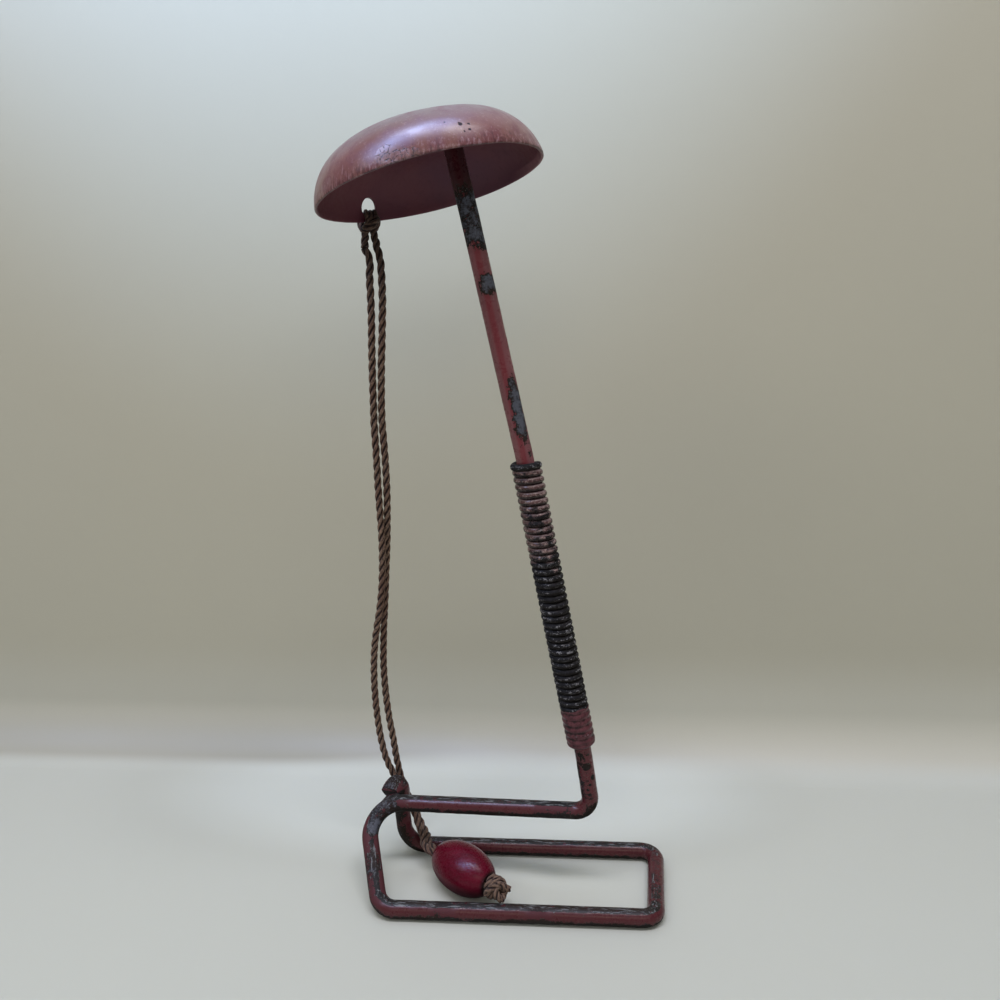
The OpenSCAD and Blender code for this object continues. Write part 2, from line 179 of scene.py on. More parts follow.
@contextmanager
def editing(obj, action="SELECT"):
    pick(obj)
    bpy.ops.object.mode_set(mode="EDIT")
    bpy.ops.mesh.select_all(action=action)
    yield
    bpy.ops.object.mode_set(mode="OBJECT")


def close_up(obj):
    """Merges doubles and turns every face outwards."""
    with editing(obj):
        bpy.ops.mesh.remove_doubles(threshold=0.002 * MM)
        bpy.ops.mesh.normals_make_consistent(inside=False)


def smooth(obj, angle=40):
    pick(obj)
    bpy.ops.object.shade_smooth_by_angle(angle=math.radians(angle))


def apply_modifier(obj, kind, **settings):
    pick(obj)
    modifier = obj.modifiers.new(kind.title(), kind)
    for name, value in settings.items():
        setattr(modifier, name, value)
    bpy.ops.object.modifier_apply(modifier=modifier.name)


def drawn_bar(name, runs, radius, sides, widths=None):
    """A round bar along each run of points, from a bevelled curve turned into a mesh.

    Its UV map has the way round as U and the length along in centimetres as V.
    """
    line = bpy.data.curves.new(name, "CURVE")
    line.dimensions = "3D"
    line.bevel_depth = radius * MM
    line.bevel_resolution = sides // 2 - 2
    line.use_fill_caps = True
    for run in runs:
        spline = line.splines.new("POLY")
        spline.points.add(len(run) - 1)
        for i, place in enumerate(run):
            spline.points[i].co = (*(place * MM), 1)
            spline.points[i].radius = widths[i] if widths else 1
    obj = bpy.data.objects.new(name, line)
    bpy.context.collection.objects.link(obj)
    pick(obj)
    bpy.ops.object.convert(target="MESH")
    obj = bpy.context.active_object
    reach = sum((b - a).length for a, b in zip(runs[0], runs[0][1:])) / 10
    for corner in obj.data.uv_layers["UVMap"].data:
        corner.uv = (corner.uv.y, corner.uv.x * reach)
    close_up(obj)
    return obj


def turned(name, profile, steps, closed=False):
    """A shape spun round its own Z axis from (radius, height) points in millimetres."""
    count = len(profile)
    edges = [(i, (i + 1) % count) for i in range(count if closed else count - 1)]
    mesh = bpy.data.meshes.new(name)
    mesh.from_pydata([(r * MM, 0, h * MM) for r, h in profile], edges, [])
    obj = bpy.data.objects.new(name, mesh)
    bpy.context.collection.objects.link(obj)
    with editing(obj):
        bpy.ops.mesh.spin(steps=steps, angle=math.tau, center=(0, 0, 0), axis=(0, 0, 1))
    close_up(obj)
    return obj


def put(obj, x_axis, y_axis, z_axis, origin):
    """Moves a piece drawn about the origin to its place and leaves the place in its mesh."""
    place = Matrix((x_axis, y_axis, z_axis)).transposed().to_4x4()
    place.translation = origin * MM
    obj.matrix_world = place
    pick(obj)
    bpy.ops.object.transform_apply(location=True, rotation=True, scale=True)


def join(name, first, *others):
    pick(*others, first)
    bpy.ops.object.join()
    first.name = first.data.name = name
    return first


def straight_to(points, goal, spacing):
    start = points[-1]
    steps = max(1, math.ceil((goal - start).length / spacing))
    points += [start.lerp(goal, i / steps) for i in range(1, steps + 1)]


def bent_line(corners, radii, spacing=2.5, step=math.radians(4)):
    """Centre line of a bar bent at its corners, its points close together in the bends."""
    points = [corners[0]]
    for before, corner, after, radius in zip(corners, corners[1:], corners[2:], radii):
        into, out = (corner - before).normalized(), (after - corner).normalized()
        turn = into.angle(out)
        start = corner - into * radius * math.tan(turn / 2)
        hub = corner + (out - into).normalized() * radius / math.cos(turn / 2)
        straight_to(points, start, spacing)
        steps = math.ceil(turn / step)
        for i in range(1, steps + 1):
            angle = turn * i / steps
            points.append(hub + (start - hub) * math.cos(angle) + into * radius * math.sin(angle))
    straight_to(points, corners[-1], spacing)
    return points


def smooth_line(places, spacing):
    """Points evenly spaced on a smooth curve through the given places."""
    places = [Vector(p) for p in places]
    gaps = [(b - a).length for a, b in zip(places, places[1:])]
    runs = [(b - a) / g for a, b, g in zip(places, places[1:], gaps)]
    inner = [(runs[i] * gaps[i + 1] + runs[i + 1] * gaps[i]) / (gaps[i] + gaps[i + 1])
             for i in range(len(runs) - 1)]
    slopes = [runs[0], *inner, runs[-1]]
    fine = [places[0]]
    for i, gap in enumerate(gaps):
        steps = max(2, math.ceil(gap / 0.1))
        for k in range(1, steps + 1):
            t = k / steps
            fine.append(places[i] * (2 * t ** 3 - 3 * t * t + 1)
                        + slopes[i] * gap * (t ** 3 - 2 * t * t + t)
                        + places[i + 1] * (3 * t * t - 2 * t ** 3)
                        + slopes[i + 1] * gap * (t ** 3 - t * t))
    total = sum((b - a).length for a, b in zip(fine, fine[1:]))
    count = max(2, round(total / spacing))
    even, gone, goal = [fine[0]], 0.0, total / count
    for a, b in zip(fine, fine[1:]):
        part = (b - a).length
        while goal <= gone + part + 1e-9 and len(even) < count:
            even.append(a.lerp(b, (goal - gone) / part))
            goal += total / count
        gone += part
    return [*even, fine[-1]]


# Distance of a rope's plies from its middle, as a share of its thickness
RING_SHARE = 0.26


def carried_sides(line, first):
    """For each point of a line its direction and a side that turns with it without twist."""
    last = len(line) - 1
    ways = [(line[min(i + 1, last)] - line[max(i - 1, 0)]).normalized() for i in range(last + 1)]
    side = (first - ways[0] * first.dot(ways[0])).normalized()
    found = [(ways[0], side)]
    for before, now in zip(ways, ways[1:]):
        side = (before.rotation_difference(now) @ side).normalized()
        found.append((now, side))
    return found


def rope_plies(line, spacing, thickness, leads, first):
    """Centre lines of three plies laid right-handed, the first of them starting at side first.

    The lead changes evenly from end to end.
    """
    plies = [[], [], []]
    angle = 0.0
    for i, (place, (way, side)) in enumerate(zip(line, carried_sides(line, first))):
        for k, ply in enumerate(plies):
            a = angle + math.tau * k / 3
            ply.append(place + RING_SHARE * thickness
                       * (math.cos(a) * side + math.sin(a) * way.cross(side)))
        angle += math.tau * spacing / (leads[0] + (leads[1] - leads[0]) * i / len(line))
    return plies


def rope(name, line, spacing, thickness, leads, first=Vector((0.1, 1, 0.1))):
    plies = rope_plies(line, spacing, thickness, leads, first)
    ply_r = (0.51 - RING_SHARE) * thickness
    obj = drawn_bar(name, plies, ply_r, 8)
    mark_outside(obj, line, thickness / 2)
    smooth(obj, 70)
    return obj


def mark_outside(obj, line, reach):
    """Gives each vertex its distance from the line as a share of reach, in attribute 'outside'."""
    tree = kdtree.KDTree(len(line))
    for i, place in enumerate(line):
        tree.insert(place * MM, i)
    tree.balance()
    share = obj.data.attributes.new("outside", "FLOAT", "POINT")
    for vertex in obj.data.vertices:
        share.data[vertex.index].value = tree.find(vertex.co)[2] / (reach * MM)


# Material helpers

USUAL = {"Mix": {"data_type": "RGBA"}, "MapRange": {"interpolation_type": "SMOOTHSTEP"}}


def add(material, kind, *values, out=None, **named):
    """Adds a node with its settings and links, and gives its output.

    The values go to its inputs in their order, and one that is another node's output becomes a
    link. A name with a capital is an input, and any other name is a setting.
    """
    node = material.node_tree.nodes.new("ShaderNode" + kind)
    for name, value in {**USUAL.get(kind, {}), **named}.items():
        if name[0].islower():
            setattr(node, name, value)
    live = [socket for socket in node.inputs if socket.enabled]
    given = list(zip(live, values))
    for name, value in named.items():
        if name[0].isupper():
            given.append((next(s for s in live if s.name == name.replace("_", " ")), value))
    for socket, value in given:
        if isinstance(value, bpy.types.NodeSocket):
            material.node_tree.links.new(value, socket)
        else:
            socket.default_value = value
    return node.outputs[out] if out else next((s for s in node.outputs if s.enabled), None)


def blank(name):
    material = bpy.data.materials.new(name)
    material.use_nodes = True
    material.node_tree.nodes.clear()
    return material


def lumps(size):
    """Noise scale, per metre, for lumps of about size millimetres."""
    return 0.5 / (size * MM)


def rgba(values):
    return (*values, 1)


def total(material, *terms):
    """Adds up (socket, factor) terms and plain numbers."""
    found = 0.0
    for term in terms:
        if isinstance(term, (int, float)):
            found = add(material, "Math", found, term)
        else:
            found = add(material, "Math", *term, found, operation="MULTIPLY_ADD")
    return found


def chips(material, place, ragged, spots):
    """1 inside small ragged spots, each given by its middle and radius in millimetres."""
    found = 0.0
    for x, y, z, r in spots:
        away = add(material, "VectorMath", place, (x * MM, y * MM, z * MM), operation="DISTANCE")
        edge = total(material, (away, 1 / (r * MM)), (ragged, 1.6), -0.8)
        found = add(material, "Math", found, add(material, "MapRange", edge, 1.05, 0.9),
                    operation="MAXIMUM")
    return found


def worn_enamel_on_steel(name, colours, spots):
    """Brushed maroon enamel on dark forged steel.

    The eye sees a satin maroon skin, dull and browner near the table, and dark streaked steel
    where hands and hooks have rubbed it through, mostly along the top, with a polished patch at
    the left bend.
    """
    m = blank(name)
    place = add(m, "TexCoord", out="Object")
    height = add(m, "SeparateXYZ", place, out="Z")
    facing = add(m, "NewGeometry", out="Normal")
    up = add(m, "SeparateXYZ", facing, out="Z")
    aside = add(m, "Math", add(m, "SeparateXYZ", facing, out="X"), operation="ABSOLUTE")
    rubbed = add(m, "Attribute", out="Fac", attribute_name="rubbed")
    drawn = add(m, "Mapping", add(m, "UVMap", uv_map="UVMap"), Scale=(50, 4, 1))
    streaks = add(m, "TexNoise", drawn, 0.5, 5, 0.7)
    broad = add(m, "TexNoise", place, lumps(9), 3)
    middling = add(m, "TexNoise", place, lumps(1.8), 5, 0.68)
    fine = add(m, "TexNoise", place, lumps(0.5), 3, 0.7)
    beneath = add(m, "Math", add(m, "MapRange", up, 0.3, -0.4),
                  add(m, "MapRange", height, 0.15, 0.1), operation="MULTIPLY")
    wear = total(m, (rubbed, 0.85), (add(m, "MapRange", up, 0.74, 0.88), 0.74),
                 (beneath, 0.78), (broad, 0.5), (middling, 1.7),
                 (streaks, 0.6), (fine, 1.4), -2.08)
    bare = add(m, "MapRange", wear, 0.48, 0.56)
    bare = add(m, "Math", bare, chips(m, place, middling, spots), operation="MAXIMUM")
    skin = add(m, "Mix", add(m, "MapRange", broad, 0.35, 0.65), rgba(colours.enamel),
               rgba([c * 0.75 for c in colours.enamel]))
    skin = add(m, "Mix", add(m, "MapRange", streaks, 0.55, 0.8, 0, 0.5), skin,
               rgba(linear("#94666f")))
    shaft = add(m, "MapRange", height, 0.2, 0.21)
    skin = add(m, "Mix", add(m, "Math", shaft, 0.3, operation="MULTIPLY"), skin,
               rgba(linear("#8a6264")))
    # On the shaft, the enamel is redder where it faces front and back.
    front_and_back_faces = add(m, "Math", shaft, add(m, "MapRange", aside, 0.5, 0.15, 0, 0.7),
                operation="MULTIPLY")
    skin = add(m, "Mix", front_and_back_faces, skin, rgba(linear("#752530")))
    # The enamel turns much darker towards the bottom of the stand.
    darker_low = add(m, "MapRange", total(m, (height, 1.0), (broad, 0.03), (middling, 0.02)),
                0.17, 0.05, 0, 0.9)
    skin = add(m, "Mix", darker_low, skin, rgba([c * k for c, k in zip(colours.enamel, (0.34, 0.245, 0.275))]))
    skin = add(m, "Mix", add(m, "MapRange", fine, 0.33, 0.25, 0, 0.8), skin, rgba(linear("#180b0c")))
    # Painted shade: the enamel at the top of the shaft, inside the dome, is darkened almost to black.
    skin = add(m, "Mix", add(m, "MapRange", height, 0.315, 0.327, 0, 0.75), skin,
               rgba(linear("#16060b")))
    metal = add(m, "Mix", add(m, "MapRange", middling, 0.42, 0.66), rgba(colours.steel),
                rgba(linear("#1d1817")))
    metal = add(m, "Mix", add(m, "MapRange", broad, 0.46, 0.6, 0, 0.8), metal, rgba(linear("#22140f")))
    # Pale streaks on the bare steel, more of them on top: partly real scuffs, partly painted highlight.
    scuffs_and_glints = total(m, (streaks, 1.0), (up, 0.12))
    metal = add(m, "Mix", add(m, "MapRange", scuffs_and_glints, 0.65, 0.72, 0, 0.75), metal,
                rgba(linear("#7d8086")))
    specks = total(m, (fine, 1.0), (rubbed, 0.05))
    metal = add(m, "Mix", add(m, "MapRange", specks, 0.62, 0.69, 0, 0.45), metal,
                rgba(linear("#74706c")))
    polished = total(m, (rubbed, 0.9), (middling, 1.7), (fine, 0.9))
    metal = add(m, "Mix", add(m, "MapRange", polished, 1.95, 2.4, 0, 0.8), metal,
                rgba(linear("#5a5e6b")))
    # Painted shade: bare steel that faces down is darkened almost to black.
    metal = add(m, "Mix", add(m, "MapRange", up, 0.0, -0.5, 0, 0.8), metal, rgba(linear("#0a0707")))
    rough = add(m, "Mix", bare, add(m, "MapRange", middling, 0.3, 0.7, 0.22, 0.36),
                add(m, "MapRange", up, -0.3, 0.6, 0.88, 0.5), data_type="FLOAT")
    rough = add(m, "Mix", add(m, "MapRange", rubbed, 0.02, 0.2), rough, 0.72, data_type="FLOAT")
    step = total(m, (bare, -0.6), (fine, 0.2), (middling, 0.4))
    add(m, "OutputMaterial", add(
        m, "BsdfPrincipled", Base_Color=add(m, "Mix", bare, skin, metal), Roughness=rough,
        Normal=add(m, "Bump", Distance=0.12 * MM, Height=step), IOR=1.5, Specular_IOR_Level=0.32,
        Specular_Tint=rgba((0.95, 0.86, 0.72))))
    return m


def own(obj, body, slot, *materials):
    """Gives a finished piece its materials and its body; its slot is not used."""
    obj.data.materials.clear()
    for material in materials:
        obj.data.materials.append(material)
    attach(obj, body)


def in_dome(x, y, z):
    """A place given in the dome's own axes, with its rim in the XY plane."""
    return RIM_CENTRE + x * DOME_SIDE + y * DOME_BACK + z * DOME_UP


class DomeShape:
    """The two arcs of the dome's profile."""

    def __init__(self, sizes):
        self.wall = sizes.sheet / MM
        self.height = sizes.crown / MM
        self.shoulder_x = sizes.dome / MM / 2 - SHOULDER_R
        self.crown_z = self.height - CROWN_R
        self.shoulder_z = self.crown_z + math.sqrt((CROWN_R - SHOULDER_R) ** 2
                                                   - self.shoulder_x ** 2)
        self.start = -math.asin(self.shoulder_z / SHOULDER_R)
        self.turn = math.acos(self.shoulder_x / (CROWN_R - SHOULDER_R))

    def arc(self, inset, steps):
        """Profile from the rim to the crown, drawn in by inset."""
        start = self.start + self.wall / 2 / SHOULDER_R
        low = [start + (self.turn - start) * i / steps for i in range(steps + 1)]
        high = [self.turn + (math.pi / 2 - self.turn) * i / steps for i in range(1, steps + 1)]
        r, big = SHOULDER_R - inset, CROWN_R - inset
        return ([(self.shoulder_x + r * math.cos(a), self.shoulder_z + r * math.sin(a)) for a in low]
                + [(big * math.cos(a), self.crown_z + big * math.sin(a)) for a in high])

    def crown_at(self, radius, inset=0.0):
        return self.crown_z + math.sqrt((CROWN_R - inset) ** 2 - radius ** 2)

    def wall_at(self, up):
        return (self.shoulder_x + math.sqrt(SHOULDER_R ** 2 - (up - self.shoulder_z) ** 2)
                - self.wall / 2)


# The pieces

def rub(obj, patches):
    """Marks where the enamel is rubbed through: patches of (middle, radius, amount).

    A patch of a negative amount is one where the enamel has kept well.
    """
    share = obj.data.attributes.new("rubbed", "FLOAT", "POINT")
    for vertex in obj.data.vertices:
        place = vertex.co / MM
        worn = kept = 0.0
        for x, y, z, r, most_of_it in patches:
            near = 1 - (place - Vector((x, y, z))).length / r
            amount = most_of_it * max(0, min(1, 2 * near))
            worn, kept = max(worn, amount), min(kept, amount)
        share.data[vertex.index].value = worn + kept


class HATSTAND_OT_stage(bpy.types.Operator):
    """Sets up the camera, the pale table and wall, and soft studio light"""
    bl_idname = "hat_stand.stage"
    bl_label = "Stage"

    def execute(self, context):
        colours = context.scene.hat_stand_colours
        camera = bpy.data.cameras.new("Camera")
        camera.sensor_width = 36
        camera.lens = 26.8875
        viewer = bpy.data.objects.new("Camera", camera)
        context.collection.objects.link(viewer)
        right = Vector((0.99842255, 0.05600811, -0.00393763))
        above = Vector((-0.00452669, 0.1502009, 0.98864513))
        ahead = Vector((-0.05596358, 0.98706777, -0.1502175))
        turn = Matrix((right, above, -ahead)).transposed().to_4x4()
        turn.translation = Vector((14.951, -322.134, 245.058)) * MM
        viewer.matrix_world = turn
        camera.clip_start = 0.01
        context.scene.camera = viewer

        pick()
        bpy.ops.mesh.primitive_plane_add(size=5, location=(0, 0, 0))
        table = context.active_object
        table.name = "table_top"
        table.data.materials.append(self.table_paint(colours))

        wall = self.backdrop()
        wall.data.materials.append(self.wall_paint(colours))

        for name, power, size, place, goal, turn, tone, gloss_only in (
                ("overhead_window", 11.6, (1.15, 0.2), (0.02, -0.36, 1.42), (0, 0, 0.2), 0,
                 "#fbf8ff", False),
                ("side_window", 2.4, (0.4, 0.6), (-0.85, -0.62, 1.05), (0, 0, 0.25), 0, "#fffaf4",
                 False),
                ("front_fill", 4.0, (1.6, 0.5), (0.3, -1.5, 0.95), (0, 0, 0.15), 0, "#fff8f0",
                 False),
                ("sky_in_the_window", 28, (1.45, 0.18), (-0.42, -0.4, 1.42), (0, 0, 0.25), 71,
                 "#8ab2ff", True)):
            lamp = bpy.data.lights.new(name, "AREA")
            lamp.shape = "RECTANGLE"
            lamp.size, lamp.size_y = size
            lamp.energy = power
            lamp.color = linear(tone)
            holder = bpy.data.objects.new(name, lamp)
            context.collection.objects.link(holder)
            aim = (Vector(goal) - Vector(place)).to_track_quat("-Z", "Y").to_matrix()
            aim = (aim @ Matrix.Rotation(math.radians(turn), 3, "Z")).to_4x4()
            aim.translation = place
            holder.matrix_world = aim
            holder.visible_diffuse = not gloss_only

        world = bpy.data.worlds.new("soft_room")
        context.scene.world = world
        world.use_nodes = True
        light = world.node_tree.nodes["Background"]
        light.inputs["Color"].default_value = rgba(linear("#f2f4f2"))
        light.inputs["Strength"].default_value = 0.245
        context.scene.view_settings.view_transform = "Standard"
        return {"FINISHED"}

    def backdrop(self):
        """A wall close behind the stand, whose foot curves into the table."""
        foot, radius = 150, 34
        arc = [(foot - radius + radius * math.sin(t), radius - radius * math.cos(t) + 0.05)
               for t in [math.radians(6 * i) for i in range(16)]]
        line = arc + [(foot, 1600)]
        mesh = bpy.data.meshes.new("backdrop")
        mesh.from_pydata([(-2.5, y * MM, z * MM) for y, z in line],
                         [(i, i + 1) for i in range(len(line) - 1)], [])
        wall = bpy.data.objects.new("backdrop", mesh)
        bpy.context.collection.objects.link(wall)
        with editing(wall):
            bpy.ops.mesh.extrude_region_move(TRANSFORM_OT_translate={"value": (5, 0, 0)})
        for face in wall.data.polygons:
            if face.normal.y > 0 or face.normal.z < -0.5:
                face.flip()
        wall.data.update()
        smooth(wall)
        return wall

    def matt(self, m, place, tone, depth):
        """Shader of a matt paint with the faintest cloudiness and tooth."""
        cloud = add(m, "TexNoise", place, lumps(120), 3)
        tooth = add(m, "Bump", Distance=depth * MM, Height=add(m, "TexNoise", place, lumps(1.5), 4))
        return add(m, "BsdfPrincipled", Normal=tooth,
                   Base_Color=add(m, "Mix", add(m, "Math", cloud, 0.06, operation="MULTIPLY"), tone,
                                  rgba((0, 0, 0))),
                   Roughness=add(m, "MapRange", cloud, 0.3, 0.7, 0.5, 0.62))

    def floor_tone(self, m, place, colours):
        """The table's colour, with the pale pool that the window leaves behind the base."""
        away = add(m, "Mapping", place, Location=(0.17, -1.3, 0), Scale=(5, 12.5, 0))
        pool = add(m, "MapRange", add(m, "VectorMath", away, operation="LENGTH", out="Value"),
                   1.05, 0.5)
        return add(m, "Mix", pool, rgba(colours.floor), rgba(linear("#e4ebe8")))

    def table_paint(self, colours):
        """Matt paint on the table."""
        m = blank("matt_painted_table")
        place = add(m, "TexCoord", out="Object")
        add(m, "OutputMaterial", self.matt(m, place, self.floor_tone(m, place, colours), 0.02))
        return m

    def wall_paint(self, colours):
        """Matt emulsion on the wall, with painted light paler at its upper left and at its foot to the
        right, painted shade at its foot to the left, and seen through from behind.
        """
        m = blank("matt_painted_wall")
        place = add(m, "TexCoord", out="Object")
        height = add(m, "SeparateXYZ", place, out="Z")
        aside = add(m, "SeparateXYZ", place, out="X")
        from_left = add(m, "Math", add(m, "Math", aside, 0.11), 2, operation="POWER")
        lit = add(m, "MapRange", total(m, (height, 1.0), (from_left, -2.0)), 0.16, 0.6)
        tone = add(m, "Mix", lit, rgba(colours.wall), rgba(linear("#e3f3f7")))
        # Painted light: the foot of the wall is paler, more so to the right.
        side = add(m, "MapRange", aside, -0.2, 0.04)
        foot = add(m, "Mix", side, rgba(linear("#bebdb0")), rgba(linear("#c6c5b8")))
        tone = add(m, "Mix", add(m, "MapRange", height, 0.08, 0.03), tone, foot)
        # Painted shade: darker at the very foot of the wall on the left.
        dim = add(m, "Math", add(m, "MapRange", height, 0.028, 0.008),
                  add(m, "Math", 1.0, side, operation="SUBTRACT"), operation="MULTIPLY")
        tone = add(m, "Mix", dim, tone, rgba(linear("#aeada0")))
        reach = add(m, "MapRange", side, 0, 1, 0.004, 0.01)
        tone = add(m, "Mix", add(m, "MapRange", height, reach, 0.0), tone,
                   self.floor_tone(m, place, colours))
        add(m, "OutputMaterial", add(m, "MixShader", add(m, "NewGeometry", out="Backfacing"),
                                     self.matt(m, place, tone, 0.03), add(m, "BsdfTransparent")))
        return m


class HATSTAND_OT_cord(bpy.types.Operator):
    """Ties the doubled cord: a hitch through the dome's rim and two hanging strands"""
    bl_idname = "hat_stand.cord"
    bl_label = "Cord"

    def execute(self, context):
        sizes, colours = context.scene.hat_stand_sizes, context.scene.hat_stand_colours
        thickness = sizes.cord / MM
        cotton = twisted_cotton(colours.cord)
        dome = DomeShape(sizes)
        out = (math.cos(HOLE_TURN), math.sin(HOLE_TURN))

        def hitch_place(outward, aside, up):
            above = max(up, 0)
            far = dome.wall_at(above) + outward
            place = in_dome(far * out[0] - aside * out[1], far * out[1] + aside * out[0], above)
            return place + Vector((0, 0, min(up, 0)))

        hitch = ([hitch_place(*p) for p in HITCH_HALF] + [hitch_place(*p) for p in HITCH_BAR]
                 + [hitch_place(x, -y, z) for x, y, z in reversed(HITCH_HALF)])
        spacing = 0.5
        line = smooth_line(hitch, spacing)
        piece = rope("cord_hitch", line, spacing, thickness, (11, 11))
        ply = rope_plies(line, spacing, thickness, (11, 11), Vector((0.1, 1, 0.1)))[0]
        starts = (ply[0] - line[0], ply[-1] - line[-1])
        own(piece, "stand", "cord", cotton)
        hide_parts("rim_hitch")
        declare(line, spacing, sizes.cord)

        strands = []
        for name, node, route, top, first, aside in (
                ("cord_left_strand", "cord_left", LEFT_ROUTE, hitch[0], starts[0], -STRAND_APART),
                ("cord_right_strand", "cord_right", RIGHT_ROUTE, hitch[-1], starts[1],
                 STRAND_APART)):
            half = sizes.bead_length / MM / 2
            end = [BEAD_MIDDLE - s * BEAD_DIR + aside * STRAND_SIDE
                   for s in (half + CORD_LEAD, half, 6, -6)]
            line = smooth_line([top, *route, *end, KNOT_FACE + aside * STRAND_SIDE], spacing)
            piece = rope(name, line, spacing, thickness, (16.4, 14.2), first)
            own(piece, "stand", "cord", cotton)
            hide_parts(node)
            strands.append((piece, line))
        knot = self.knot(thickness)
        own(knot, "stand", "cord", cotton)
        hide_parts("end_knot")
        declare(strands[0][1], spacing, sizes.cord)
        declare(strands[1][1], spacing, sizes.cord)
        return {"FINISHED"}

    def knot(self, thickness):
        """The knot: a band wrapped beside the bead, an overhand tangle and two short ends."""
        up = Vector((0, 0, 1))

        def at(aside, high, along):
            return KNOT_FACE + aside * STRAND_SIDE + high * up + along * BEAD_DIR

        def around(start, turns, radii, alongs, tilt):
            """A wrap round the bead's line: start in degrees, then radius and place at its ends."""
            steps = round(abs(turns) * 24)
            found = []
            for i in range(steps + 1):
                t = i / steps
                a = math.radians(start) + math.tau * turns * t
                r = radii[0] + (radii[1] - radii[0]) * t
                found.append(at(r * math.cos(a), r * math.sin(a),
                                alongs[0] + (alongs[1] - alongs[0]) * t + tilt * math.sin(a)))
            return found

        wraps = around(60, 2.15, (4.05, 3.7), (1.5, 5.6), 0.45)
        lobe = around(250, -1.05, (3.3, 2.7), (7.2, 6.6), -1.3)
        cross = [at(-3.9, -2.2, 1.9), at(-4.3, 0.6, 3.6), at(-2.9, 3, 5.4), at(0.2, 2.9, 7.2),
                 at(1.9, 0.6, 8.2), at(1.2, -1.6, 7.2), at(0, -2.4, 5)]
        tails = [[at(0.5, 0.5, 4), at(1.4, 1, 6.6), at(2.6, 0.6, 8.4), at(4, 0.1, 9.4)],
                 [at(-0.8, -0.8, 4), at(-1.2, -1.6, 6.8), at(-0.9, -2.3, 8.6), at(-0.4, -3, 9.8)]]
        parts = [rope(f"knot_part_{i}", smooth_line(places, 0.4), 0.4, size * thickness, (10, 10))
                 for i, (places, size) in enumerate(
                     [(wraps, 0.98), (lobe, 0.9), (cross, 0.94), (tails[0], 0.85),
                      (tails[1], 0.85)])]
        return join("cord_knot", *parts)


def declare(line, spacing, thickness):
    """Works out a path through every fifth point of the line and the line's length, and does
    nothing with them.
    """
    path = line[::5] if (len(line) - 1) % 5 == 0 else [*line[::5], line[-1]]
    reach = sum((b - a).length for a, b in zip(line, line[1:]))
    [p * MM for p in path]


def twisted_cotton(shade):
    """Twisted cotton: soft matt plies with fine fibres, and dark grooves between them that are painted
    shade.
    """
    m = blank("twisted_cotton_cord")
    place = add(m, "TexCoord", out="Object")
    outside = add(m, "Attribute", out="Fac", attribute_name="outside")
    laid = add(m, "Mapping", add(m, "UVMap", uv_map="UVMap"), Scale=(3, 3, 1),
               Rotation=(0, 0, math.radians(24)))
    fibres = add(m, "TexNoise", laid, 2, 5, 0.7)
    tone = add(m, "Mix", add(m, "MapRange", fibres, 0.32, 0.68), rgba([c * 0.32 for c in shade]),
               rgba([min(1, c * 2) for c in shade]))
    patches = add(m, "TexNoise", place, lumps(7), 3)
    tone = add(m, "Mix", add(m, "MapRange", patches, 0.45, 0.7, 0, 0.45), tone,
               rgba(linear("#5c3a30")))
    height = add(m, "SeparateXYZ", place, out="Z")
    # Darker at the hitch, as dirt and as painted shade under the dome, and darker low down by the knot.
    dirt_and_shade = add(m, "Math", add(m, "MapRange", height, 0.27, 0.31, 0, 0.65),
                 add(m, "MapRange", height, 0.06, 0.03, 0, 0.25), operation="MAXIMUM")
    tone = add(m, "Mix", dirt_and_shade, tone, rgba(linear("#2c1a17")))
    # Painted shade in the grooves between the plies, darkest next to the rope's middle.
    tone = add(m, "Mix", add(m, "MapRange", outside, 0.95, 0.7), tone, rgba(linear("#22100b")))
    add(m, "OutputMaterial", add(
        m, "BsdfPrincipled", Base_Color=tone, Roughness=0.85, Sheen_Weight=0.1,
        Sheen_Roughness=0.5, Specular_IOR_Level=0.25,
        Normal=add(m, "Bump", Distance=0.12 * MM, Height=fibres)))
    return m


